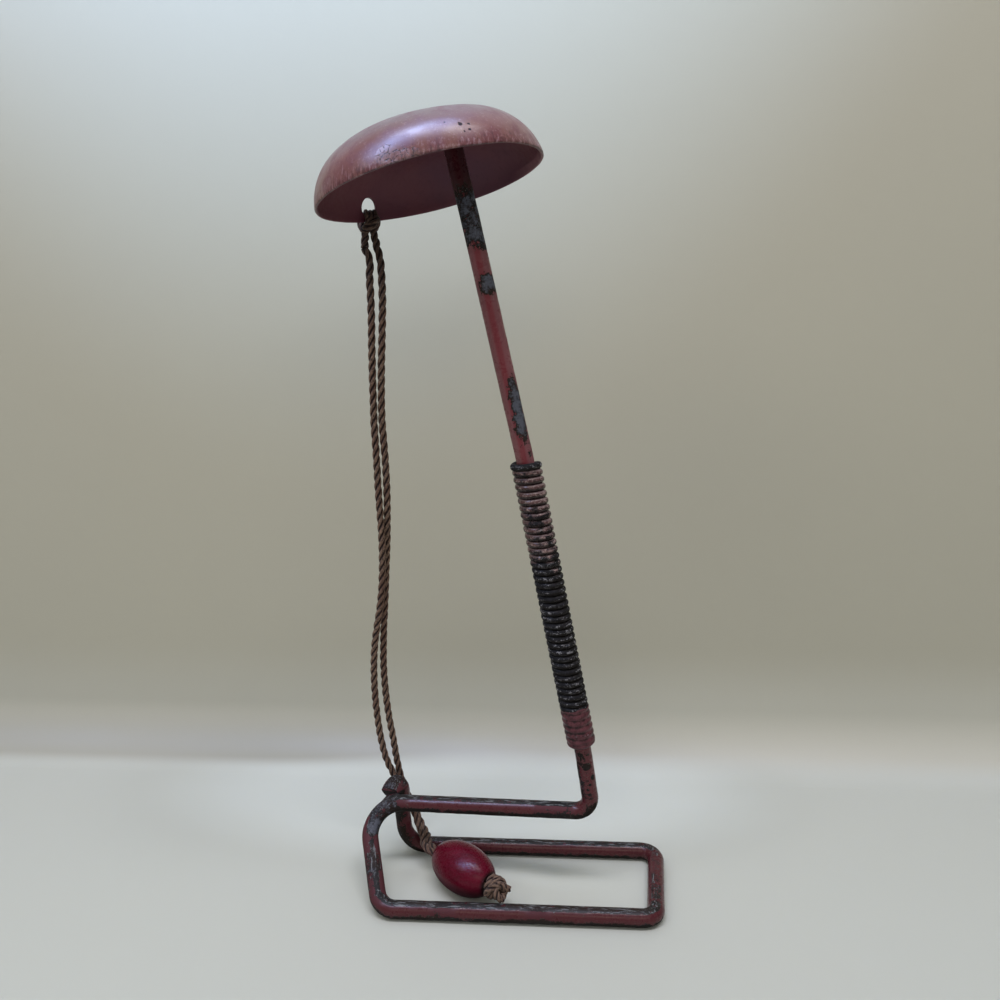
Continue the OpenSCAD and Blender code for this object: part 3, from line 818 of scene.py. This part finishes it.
class HATSTAND_OT_rod(bpy.types.Operator):
    """Bends the rod from its hooked end to the shaft, with the tenon spread over on the crown"""
    bl_idname = "hat_stand.rod"
    bl_label = "Rod"

    def execute(self, context):
        sizes, colours = context.scene.hat_stand_sizes, context.scene.hat_stand_colours
        dome = DomeShape(sizes)
        radius = sizes.rod / MM / 2
        shoulder = dome.crown_at(DOME_OFFSET + radius, dome.wall) - 0.04
        corners = [HOOK_END, STUB_TOP, BACK_LEFT, BACK_RIGHT, FRONT_RIGHT, FRONT_LEFT, RAIL_LEFT,
                   RAIL_RIGHT, GRIP_FOOT, GRIP_HEAD, NECK_TOP, SHAFT_AT_RIM + shoulder * DOME_UP]
        line = bent_line(corners, [5, 12, 7, 7, 9.5, 14, 8, 200, 200, 200])
        along = [0.0]
        for a, b in zip(line, line[1:]):
            along.append(along[-1] + (b - a).length)
        rod = drawn_bar("bent_rod", [line], radius, 32,
                        [1 + 0.3 * max(0, min(1, (22 - gone) / 9)) for gone in along])
        self.hammer(rod, [place for place, gone in zip(line, along) if gone < 22])
        with editing(rod, "DESELECT"):
            bpy.ops.mesh.select_mode(type="FACE")
        cut = (HOOK_END - STUB_TOP).normalized()
        for face in rod.data.polygons:
            face.select = len(face.vertices) > 4 and face.normal.dot(cut) > 0.9
        pick(rod)
        bpy.ops.object.mode_set(mode="EDIT")
        bpy.ops.mesh.bevel(offset=0.5 * MM, segments=3, affect="EDGES")
        bpy.ops.object.mode_set(mode="OBJECT")
        clouds = bpy.data.textures.new("forge_waves", "CLOUDS")
        clouds.noise_scale = 7 * MM
        apply_modifier(rod, "DISPLACE", texture=clouds, strength=0.22 * MM, mid_level=0.5)
        top = dome.crown_at(DOME_OFFSET)
        fixing = turned("tenon", [(0, shoulder - 5), (2.5, shoulder - 5), (2.5, top - 0.35),
                                  (4.3, top - 0.45), (4.5, top - 0.1), (4.1, top + 0.3),
                                  (2.6, top + 0.62), (0, top + 0.7)], 32)
        put(fixing, DOME_SIDE, DOME_BACK, DOME_UP, in_dome(DOME_OFFSET, 0, 0))
        rod = join("bent_rod", rod, fixing)
        rub(rod, ROD_PATCHES)
        smooth(rod, 50)
        own(rod, "stand", "rod_enamel",
            worn_enamel_on_steel("worn_enamel_on_forged_rod", colours, ROD_CHIPS))
        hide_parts("rod_frame")
        return {"FINISHED"}

    def hammer(self, rod, hook):
        """Beats flats on the hooked end."""
        for vertex in rod.data.vertices:
            place = vertex.co / MM - STUB_TOP
            if place.length > 18 or min((place + STUB_TOP - p).length for p in hook) > 6:
                continue
            for facing, depth in HOOK_FLATS:
                facing = Vector(facing).normalized()
                place -= 0.85 * max(0, place.dot(facing) - depth) * facing
            vertex.co = (place + STUB_TOP) * MM


# Hammered flats on the hook: the way each one faces and how far it lies from the stub's top
HOOK_FLATS = [((-0.35, -0.5, 0.8), 2.3), ((0.55, -0.35, 0.75), 1.6), ((0.1, 0.75, 0.65), 1.9),
              ((-0.85, -0.1, 0.5), 5.6), ((-0.2, -0.95, -0.2), 8.2)]

# Places on the rod where hands, hats and the table have rubbed it, with radius and amount
ROD_PATCHES = [
    (-63.2, 24.7, 35, 9, 0.85), (-67.5, 18.5, 28, 6, 1.05), (-66, 21, 32, 8, 0.8),
    (-71, 27, 34, 9, 0.6), (-66.5, 3, 18, 8, 0.7), (-66.5, -3, 12.5, 6, 0.5),
    (-65, -4, 9, 12, 0.24), (-68, 12, 21, 14, 0.26), (-62, 30, 38, 13, 0.24),
    (-64.8, 32.5, 41, 8, 0.95), (-57, 40, 42, 6, 0.6), (-60.5, 38.5, 22, 7, 0.42),
    (-58, 38.5, 9, 8, 0.46), (72, 24, 8, 22, -0.34), (70, 0, 8, 9, -0.2),
    (-15, -1, 317, 13, 0.95), (-12, 0, 307.5, 9, 1.0), (-7.2, -0.6, 287.5, 6, 1.1),
    (2.2, 1, 247, 4, 0.8), (3.3, 1.3, 242, 5, 1.05), (4.5, 1.5, 237, 5, 1.1),
    (5.6, 1.8, 232, 5, 1.1), (6.7, 2, 227, 5, 0.95), (8.8, 3.3, 222, 5, 0.6),
    (10.1, 3.4, 215.5, 4, 0.5), (0.5, 3.5, 262, 4, 0.36), (17.2, 14.3, 40, 7, 0.42),
    (25.3, 13.2, 41, 7, 0.42), (14, -12, 1.5, 9, 0.3), (-30, -12, 1.5, 9, 0.3)]
ROD_CHIPS = [(36.6, 9.4, 67.3, 2.1), (39.8, 10.9, 61.4, 1.4), (38.4, 9.9, 57.9, 0.7),
             (37.5, 10, 55.2, 0.6), (38.5, 10.1, 52.7, 0.9), (39.3, 10.6, 50.5, 0.6)]


class HATSTAND_OT_dome(bpy.types.Operator):
    """Presses the dome and punches the holes for the cord and the tenon"""
    bl_idname = "hat_stand.dome"
    bl_label = "Dome"

    def execute(self, context):
        sizes, colours = context.scene.hat_stand_sizes, context.scene.hat_stand_colours
        shape = DomeShape(sizes)
        outer, inner = shape.arc(0, 20), shape.arc(shape.wall, 20)
        rim_middle = (Vector(outer[0]) + Vector(inner[0])) / 2
        across = (Vector(outer[0]) - Vector(inner[0])) / 2
        down = Vector((across.y, -across.x))
        rim = [tuple(rim_middle + across * math.cos(a) + down * math.sin(a))
               for a in [math.radians(30 * i) for i in range(1, 6)]]
        dome = turned("pressed_dome", outer[::-1] + rim + inner, 160)
        for vertex in dome.data.vertices:
            x, y, z = vertex.co / MM
            soft = noise.noise(Vector((x / 28, y / 28, 1.7)))
            edge = noise.noise(Vector((x / 7, y / 7, 8.1))) * max(0, 1 - max(z, 0) / 5)
            flat = Vector((x, y, 0)).normalized() if (x or y) else Vector()
            vertex.co += (flat * (0.35 * soft + 0.16 * edge) + Vector((0, 0, 0.3 * soft))) * MM
        for radius, turn, place in (
                (HOLE_R, Matrix.Rotation(HOLE_TURN, 4, "Z") @ Matrix.Rotation(math.pi / 2, 4, "Y"),
                 Vector((math.cos(HOLE_TURN), math.sin(HOLE_TURN), 0)) * 40
                 + Vector((0, 0, HOLE_HEIGHT))),
                (2.6, Matrix.Identity(4), Vector((DOME_OFFSET, 0, 20)))):
            self.punch(dome, radius, turn, place)
        put(dome, DOME_SIDE, DOME_BACK, DOME_UP, RIM_CENTRE)
        smooth(dome, 50)
        outside = faded_enamel_on_dome(colours)
        inside = enamel_inside_dome(colours)
        own(dome, "stand", "dome_enamel", outside, inside)
        hub = in_dome(0, 0, shape.shoulder_z) * MM
        for face in dome.data.polygons:
            inward = face.normal.dot(face.center - hub) < 0
            face.material_index = 1 if inward else 0
        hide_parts("dome")
        return {"FINISHED"}

    def punch(self, dome, radius, turn, place):
        pick()
        bpy.ops.mesh.primitive_cylinder_add(vertices=48, radius=radius * MM, depth=40 * MM)
        punch = bpy.context.active_object
        punch.matrix_world = Matrix.Translation(place * MM) @ turn
        bpy.context.view_layer.update()
        apply_modifier(dome, "BOOLEAN", operation="DIFFERENCE", solver="EXACT", object=punch)
        bpy.data.objects.remove(punch)


def faded_enamel_on_dome(colours):
    """Faded satin enamel on pressed sheet.

    The eye sees a dusty rose skin, browner to the left and redder at the rim, with a soft broad
    gloss, a patch of fine cracks, upright scratches near the rim, a few dark chips and a dark line
    of painted shade along the rim's edge.
    """
    m = blank("faded_enamel_on_pressed_sheet")
    place = add(m, "TexCoord", out="Object")
    broad = add(m, "TexNoise", place, lumps(22), 3)
    middling = add(m, "TexNoise", place, lumps(3), 5, 0.6)
    fine = add(m, "TexNoise", place, lumps(0.6), 3, 0.7)
    above = add(m, "VectorMath", place, tuple(DOME_UP), operation="DOT_PRODUCT")
    above = total(m, (above, 1 / MM), -RIM_CENTRE.dot(DOME_UP))
    rim_band = add(m, "MapRange", above, 9, 0.5)
    skin = add(m, "Mix", add(m, "MapRange", broad, 0.35, 0.65), rgba(colours.dome),
               rgba(linear("#7a5042")))
    skin = add(m, "Mix", add(m, "MapRange", above, 8, 19, 0, 0.6), skin, rgba(linear("#5b4c4c")))
    reddened = add(m, "MapRange", total(m, (middling, 1.0), (rim_band, 0.12)), 0.45, 0.72, 0, 0.7)
    skin = add(m, "Mix", reddened, skin, rgba(linear("#6a2f3a")))
    skin = add(m, "Mix", add(m, "MapRange", fine, 0.55, 0.7, 0, 0.3), skin, rgba(linear("#a78a8e")))

    bent = add(m, "TexNoise", place, lumps(1.4), 3, out="Color")
    bent = add(m, "VectorMath", bent, (1.8 * MM, 1.8 * MM, 1.8 * MM), place, operation="MULTIPLY_ADD")
    cracks = add(m, "TexVoronoi", bent, Scale=1 / (2.7 * MM), feature="DISTANCE_TO_EDGE")
    kept = chips(m, place, middling, CRACKED)
    broken = add(m, "MapRange", fine, 0.42, 0.52)
    crackled = add(m, "Math", add(m, "MapRange", cracks, 0.06, 0.025), kept, operation="MULTIPLY")
    crackled = add(m, "Math", crackled, broken, operation="MULTIPLY")
    flaked = add(m, "Math", add(m, "MapRange", middling, 0.42, 0.6, 0.1, 0.7), kept,
                 operation="MULTIPLY")
    upright = add(m, "Mapping", place, Scale=(1, 1, 0.2))
    streaks = add(m, "TexNoise", upright, lumps(0.6), 4, 0.65)
    scratch = add(m, "TexNoise", add(m, "Mapping", place, Scale=(0.12, 1, 1)), lumps(1.2), 2, 0.5)
    pale = total(m, (rim_band, 0.16), (streaks, 1.0))
    pale = add(m, "Math", add(m, "MapRange", pale, 0.66, 0.78, 0, 0.4), flaked, operation="MAXIMUM")
    pale = add(m, "Math", pale, add(m, "MapRange", scratch, 0.69, 0.74, 0, 0.16),
               operation="MAXIMUM")
    skin = add(m, "Mix", pale, skin, rgba(linear("#b096a4")))
    worn = total(m, (rim_band, 0.16), (streaks, -1.0), (fine, -0.3), 1.0)
    skin = add(m, "Mix", add(m, "MapRange", worn, 0.53, 0.62, 0, 0.6), skin, rgba(linear("#472930")))
    # Painted shade: a dark ragged line along the rim's edge.
    edge = add(m, "MapRange", total(m, (above, -1.0), (middling, 1.2)), 0.3, 0.75, 0, 0.8)
    skin = add(m, "Mix", edge, skin, rgba(linear("#35202a")))
    specks = add(m, "MapRange", middling, 0.29, 0.24)
    dark = add(m, "Math", chips(m, place, fine, DOME_CHIPS), specks, operation="MAXIMUM")
    skin = add(m, "Mix", add(m, "Math", dark, crackled, operation="MAXIMUM"), skin,
               rgba(linear("#2c1a1c")))
    step = total(m, (dark, -0.7), (crackled, -0.8), (middling, 0.25), (fine, 0.12), (streaks, 0.1))
    rough = add(m, "Mix", dark, add(m, "MapRange", middling, 0.3, 0.7, 0.28, 0.4), 0.85,
                data_type="FLOAT")
    add(m, "OutputMaterial", add(
        m, "BsdfPrincipled", Base_Color=skin, IOR=1.5, Roughness=rough,
        Normal=add(m, "Bump", Distance=0.1 * MM, Height=step)))
    return m


# Cracked patches by the rim, and dark chips
CRACKED = [(-41, -47, 326.2, 3.9), (-38.2, -47.6, 325, 3.2), (-33.5, -48.1, 325.2, 2.6),
           (-30, -48.3, 326, 1.8)]
DOME_CHIPS = [(-14.6, -41.8, 337, 0.8), (-11.5, -40.8, 337.6, 0.6), (-11, -42.2, 335.5, 0.8),
              (3.5, -33, 337.5, 0.8), (-17.6, -42, 336.8, 0.4), (-20, -43, 337.4, 0.35),
              (-9, -40.5, 339, 0.35), (-13, -42.6, 334.2, 0.4), (-30, -36, 341, 0.5),
              (-24.5, -43.9, 336.2, 0.3), (-48, -43, 326, 0.5)]


def enamel_inside_dome(colours):
    """Plain enamel inside the dome: dark maroon, redder low at the right, a little dusty, with a
    painted red sheen to the left.
    """
    m = blank("enamel_inside_pressed_sheet")
    place = add(m, "TexCoord", out="Object")
    broad = add(m, "TexNoise", place, lumps(16), 3)
    fine = add(m, "TexNoise", place, lumps(1), 4, 0.65)
    skin = add(m, "Mix", add(m, "MapRange", broad, 0.35, 0.7), rgba(colours.inside),
               rgba(linear("#5a2a33")))
    skin = add(m, "Mix", add(m, "MapRange", fine, 0.55, 0.75, 0, 0.35), skin, rgba(linear("#37191f")))
    aside = add(m, "SeparateXYZ", place, out="X")
    # Painted sheen: the inside is lighter and redder to the left.
    skin = add(m, "Mix", add(m, "MapRange", aside, -0.045, -0.075, 0, 0.7), skin,
               rgba(linear("#66343f")))
    above = add(m, "VectorMath", place, tuple(DOME_UP), operation="DOT_PRODUCT")
    above = total(m, (above, 1 / MM), (broad, 1.5), -RIM_CENTRE.dot(DOME_UP))
    # Paler and redder in a band just above the rim on the right.
    paler_low_right = add(m, "Math", add(m, "MapRange", above, 4.2, 3.4, 0, 0.7),
                 add(m, "MapRange", aside, 0, 0.012), operation="MULTIPLY")
    skin = add(m, "Mix", paler_low_right, skin, rgba(linear("#7c5158")))
    step = total(m, (fine, 0.5), (broad, 0.5))
    add(m, "OutputMaterial", add(
        m, "BsdfPrincipled", Base_Color=skin, IOR=1.5, Specular_IOR_Level=0.3,
        Roughness=add(m, "MapRange", fine, 0.3, 0.7, 0.42, 0.56),
        Normal=add(m, "Bump", Distance=0.1 * MM, Height=step)))
    return m


class HATSTAND_OT_grip(bpy.types.Operator):
    """Winds the wire on the shaft and fills its lowest turns with enamel"""
    bl_idname = "hat_stand.grip"
    bl_label = "Grip"

    def execute(self, context):
        sizes, colours = context.scene.hat_stand_sizes, context.scene.hat_stand_colours
        wire_r = sizes.wire / MM / 2
        foot = GRIP_FOOT + 4.2 * GRIP_UP
        ring_r = sizes.rod / MM / 2 + wire_r - 0.35
        lead_in = 4.2
        pitch = (GRIP_LENGTH - 2 * lead_in) / sizes.turns
        side = Vector((0, 1, 0)).cross(GRIP_UP).normalized()
        back = GRIP_UP.cross(side)
        rings = 30
        line = []
        for i in range(sizes.turns * rings + 1):
            turn = i / rings
            angle = math.tau * turn - math.pi / 2
            proud = 0.09 * noise.noise(Vector((turn * 1.3, 0, 0)))
            proud += 0.35 * max(0, min(1, turn - sizes.turns + 1.2))
            last = max(0, turn - sizes.turns + 1)
            along = (lead_in + pitch * (turn - 0.3 * last ** 2)
                     + 0.07 * noise.noise(Vector((turn * 1.1, 5, 0))))
            line.append(foot + along * GRIP_UP
                        + (ring_r + proud) * (math.cos(angle) * side - math.sin(angle) * back))
        wire = drawn_bar("wound_grip", [line], wire_r, 12)
        smooth(wire, 60)
        axis = [foot + GRIP_LENGTH * i / 600 * GRIP_UP for i in range(-20, 621)]
        mark_outside(wire, axis, ring_r + wire_r)
        coat = self.coat(ring_r + wire_r, lead_in, pitch)
        put(coat, side, back, GRIP_UP, foot)
        smooth(coat, 60)
        mark_outside(coat, axis, ring_r + wire_r)
        own(wire, "stand", "winding_enamel", worn_enamel_on_wire(colours))
        coat.data.materials.append(thick_enamel_in_grip(colours))
        grip = join("wound_grip", wire, coat)
        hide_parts("grip_winding")
        return {"FINISHED"}

    def coat(self, crest, lead_in, pitch):
        """Enamel that fills the lowest turns, with a rounded lip and a ragged upper edge."""
        heights = [-1.2, -1.1, -0.7, 0, 0.8] + [1.2 + 0.45 * i for i in range(44)]
        outside = [(crest, h) for h in heights]
        coat = turned("coat", outside + [(4.1, heights[-1]), (4.1, heights[0])], 96, closed=True)
        for vertex in coat.data.vertices:
            x, y, z = vertex.co / MM
            if math.hypot(x, y) < 5:
                continue
            angle = math.atan2(y, x)
            wave = math.cos(math.tau * ((z - lead_in) / pitch + angle / math.tau) - math.pi / 2)
            radius = crest - 0.2 + 0.24 * wave * max(0, min(1, z / 2))
            if z < 1:
                radius = crest - 0.05 - 1.9 * ((1 - z) / 2.2) ** 3
            ragged = 18.5 + 1.2 * noise.noise(Vector((x / 4, y / 4, 3)))
            radius -= 1.8 * max(0, min(1, (z - ragged) / 2.5))
            scale = radius / math.hypot(x, y)
            vertex.co = Vector((x * scale, y * scale, z)) * MM
        close_up(coat)
        return coat


def worn_enamel_on_wire(colours):
    """Wire with worn enamel: black rubbed crests with grey streaks along them, maroon left in
    places, and brown-maroon over the upper third of the grip, with a painted highlight on the
    enamel's upper sides and painted shade under the turns and in the grooves between them."""
    m = blank("worn_enamel_on_wound_wire")
    place = add(m, "TexCoord", out="Object")
    height = add(m, "SeparateXYZ", place, out="Z")
    outside = add(m, "Attribute", out="Fac", attribute_name="outside")
    broad = add(m, "TexNoise", place, lumps(8), 3)
    middling = add(m, "TexNoise", place, lumps(1.4), 4, 0.65)
    fine = add(m, "TexNoise", place, lumps(0.45), 3, 0.7)
    along = add(m, "Mapping", add(m, "UVMap", uv_map="UVMap"), Scale=(12, 6, 1))
    rubs = add(m, "TexNoise", along, 0.6, 5, 0.72)
    wound = add(m, "SeparateXYZ", add(m, "UVMap", uv_map="UVMap"), out="Y")
    kept = total(m, (add(m, "MapRange", height, 0.13, 0.2), 0.42),
                 (add(m, "MapRange", wound, 132.2, 132.8), -0.9), (broad, 0.8), (middling, 0.5),
                 (rubs, 0.5), (outside, -0.3), -0.42)
    painted = add(m, "MapRange", kept, 0.46, 0.56)
    up = add(m, "SeparateXYZ", add(m, "NewGeometry", out="Normal"), out="Z")
    metal = add(m, "Mix", add(m, "MapRange", middling, 0.42, 0.62), rgba(linear("#080708")),
                rgba(linear("#19171b")))
    flecked = total(m, (rubs, 1.1), (outside, 1.2), (fine, 0.9), (broad, 0.3), -1.85)
    metal = add(m, "Mix", add(m, "MapRange", flecked, 0.54, 0.64, 0, 0.85), metal,
                rgba(linear("#8f8e94")))
    skin = add(m, "Mix", add(m, "MapRange", middling, 0.35, 0.62), rgba(linear("#3a2425")),
               rgba(linear("#5c4142")))
    # Painted highlight: the enamel is paler where the wire faces up.
    skin = add(m, "Mix", add(m, "MapRange", up, 0.3, 0.8, 0, 0.75), skin, rgba(linear("#8b7678")))
    skin = add(m, "Mix", add(m, "MapRange", flecked, 0.5, 0.6, 0, 0.6), skin,
               rgba(linear("#a8938f")))
    skin = add(m, "Mix", add(m, "MapRange", fine, 0.42, 0.34, 0, 0.7), skin, rgba(linear("#160c0d")))
    tone = add(m, "Mix", painted, metal, skin)
    # Painted shade: darker on the lower side of each turn.
    under = total(m, (up, 1.0), (middling, 0.8))
    tone = add(m, "Mix", add(m, "MapRange", under, 0.5, 0.1, 0, 0.8), tone, rgba(linear("#0b0607")))
    # Painted shade: near black where the wire lies close to the shaft, in the grooves between the turns.
    tone = add(m, "Mix", add(m, "MapRange", outside, 0.9, 0.78), tone, rgba(linear("#080405")))
    step = total(m, (painted, 0.4), (fine, 0.35), (middling, 0.4), (rubs, 0.3))
    add(m, "OutputMaterial", add(
        m, "BsdfPrincipled", Base_Color=tone, IOR=1.5, Specular_IOR_Level=0.34,
        Specular_Tint=rgba((0.98, 0.9, 0.8)),
        Roughness=add(m, "Mix", painted, add(m, "MapRange", rubs, 0.45, 0.62, 0.88, 0.5), 0.2,
                      data_type="FLOAT"),
        Normal=add(m, "Bump", Distance=0.24 * MM, Height=step)))
    return m


def thick_enamel_in_grip(colours):
    """Enamel laid on so thick that it fills the lowest turns: maroon crests, and black grooves
    that are painted shade.
    """
    m = blank("thick_enamel_in_grip")
    place = add(m, "TexCoord", out="Object")
    outside = add(m, "Attribute", out="Fac", attribute_name="outside")
    broad = add(m, "TexNoise", place, lumps(5), 3)
    middling = add(m, "TexNoise", place, lumps(1.4), 4, 0.65)
    fine = add(m, "TexNoise", place, lumps(0.5), 3, 0.7)
    skin = add(m, "Mix", add(m, "MapRange", middling, 0.4, 0.65),
               rgba([c * 0.6 for c in colours.enamel]), rgba([c * 0.32 for c in colours.enamel]))
    skin = add(m, "Mix", add(m, "MapRange", fine, 0.6, 0.7, 0, 0.35), skin, rgba(linear("#7b5d62")))
    skin = add(m, "Mix", add(m, "MapRange", fine, 0.45, 0.36, 0, 0.6), skin, rgba(linear("#2a1316")))
    # Painted shade: near black in the grooves between the crests.
    hollow = total(m, (outside, -1.0), (middling, 0.15), (broad, 0.06), 0.97)
    skin = add(m, "Mix", add(m, "MapRange", hollow, 0.12, 0.155, 0, 0.85), skin, rgba(linear("#140a0b")))
    step = total(m, (middling, 0.6), (fine, 0.2))
    add(m, "OutputMaterial", add(
        m, "BsdfPrincipled", Base_Color=skin, IOR=1.5, Specular_IOR_Level=0.3,
        Roughness=add(m, "MapRange", middling, 0.3, 0.7, 0.34, 0.5),
        Normal=add(m, "Bump", Distance=0.12 * MM, Height=step)))
    return m


class HATSTAND_OT_bead(bpy.types.Operator):
    """Turns the oval bead with its bore"""
    bl_idname = "hat_stand.bead"
    bl_label = "Bead"

    def execute(self, context):
        sizes, colours = context.scene.hat_stand_sizes, context.scene.hat_stand_colours
        half, radius, end_r, bore = (sizes.bead_length / MM / 2, sizes.bead_width / MM / 2, 4.8, 3.5)
        reach = half / math.cos(math.asin(end_r / radius))
        steps = 36
        last = math.asin(half / reach)
        outline = [(radius * math.cos(a), reach * math.sin(a))
                   for a in [-last + 2 * last * i / steps for i in range(steps + 1)]]
        edge = [(4.5, half - 0.03), (4.1, half - 0.12), (3.75, half - 0.4), (bore, half - 0.8)]
        profile = ([(r, -h) for r, h in reversed(edge)] + outline + edge)
        bead = turned("oval_bead", profile, 72, closed=True)
        put(bead, STRAND_SIDE, Vector((0, 0, 1)), STRAND_SIDE.cross(Vector((0, 0, 1))),
            BEAD_MIDDLE)
        smooth(bead, 40)
        own(bead, "bead", "bead_wood", stained_beech(colours))
        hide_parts("toggle_bead")
        return {"FINISHED"}


def stained_beech(colours):
    """Stained and varnished beech: deep crimson gloss, speckled where the varnish is worn, with
    faint grain along the bore, darker ends and painted shade on its underside."""
    m = blank("stained_varnished_beech")
    place = add(m, "TexCoord", out="Object")
    centred = add(m, "Mapping", place, Location=tuple(-BEAD_MIDDLE * MM))
    along = add(m, "VectorMath", centred, tuple(BEAD_DIR), operation="DOT_PRODUCT")
    from_middle = add(m, "Math", along, operation="ABSOLUTE")
    lined = add(m, "Mapping", centred, Rotation=(0, 0, BEAD_TURN), Scale=(0.12, 1, 1))
    lines = add(m, "TexNoise", lined, lumps(0.7), 4, 0.6)
    fine = add(m, "TexNoise", place, lumps(0.4), 3, 0.7)
    cloud = add(m, "TexNoise", place, lumps(6), 3)
    tone = add(m, "Mix", add(m, "MapRange", lines, 0.35, 0.7), rgba(colours.bead),
               rgba([c * 0.7 for c in colours.bead]))
    tone = add(m, "Mix", add(m, "MapRange", cloud, 0.4, 0.7, 0, 0.35), tone, rgba(linear("#6c142a")))
    tone = add(m, "Mix", add(m, "MapRange", from_middle, 0.0158, 0.0175), tone,
               rgba(linear("#1c070b")))
    tone = add(m, "Mix", add(m, "MapRange", fine, 0.64, 0.7, 0, 0.25), tone, rgba(linear("#84405a")))
    up = add(m, "SeparateXYZ", add(m, "NewGeometry", out="Normal"), out="Z")
    # Painted shade: darker on the underside of the bead.
    tone = add(m, "Mix", add(m, "MapRange", up, 0.1, -0.7, 0, 0.75), tone, rgba(linear("#1c0509")))
    step = total(m, (fine, 0.6), (lines, 0.3), (cloud, 0.8))
    rough = add(m, "Mix", add(m, "MapRange", up, 0.1, -0.4),
                add(m, "MapRange", fine, 0.35, 0.65, 0.18, 0.38), 0.8, data_type="FLOAT")
    add(m, "OutputMaterial", add(
        m, "BsdfPrincipled", Base_Color=tone, IOR=1.5, Specular_IOR_Level=0.18, Roughness=rough,
        Normal=add(m, "Bump", Distance=0.12 * MM, Height=step)))
    return m


class HATSTAND_PT_panel(bpy.types.Panel):
    """Lists the pieces, their sizes and colours"""
    bl_idname = "HATSTAND_PT_panel"
    bl_label = "Hat display stand"
    bl_space_type = "VIEW_3D"
    bl_region_type = "UI"
    bl_category = "Hat stand"

    def draw(self, context):
        for group in (context.scene.hat_stand_sizes, context.scene.hat_stand_colours):
            box = self.layout.box()
            for name in group.__annotations__:
                box.prop(group, name)
        for operator in OPERATORS:
            self.layout.operator(operator.bl_idname)


OPERATORS = (HATSTAND_OT_stage, HATSTAND_OT_bead, HATSTAND_OT_cord, HATSTAND_OT_rod,
             HATSTAND_OT_dome, HATSTAND_OT_grip)
CLASSES = (StandSizes, StandColours, *OPERATORS, HATSTAND_PT_panel)


def register():
    for item in CLASSES:
        bpy.utils.register_class(item)
    bpy.types.Scene.hat_stand_sizes = PointerProperty(type=StandSizes)
    bpy.types.Scene.hat_stand_colours = PointerProperty(type=StandColours)


def unregister():
    del bpy.types.Scene.hat_stand_sizes
    del bpy.types.Scene.hat_stand_colours
    for item in reversed(CLASSES):
        bpy.utils.unregister_class(item)


def main():
    register()
    for operator in OPERATORS:
        group, name = operator.bl_idname.split(".")
        getattr(getattr(bpy.ops, group), name)()


if __name__ == "__main__":
    main()
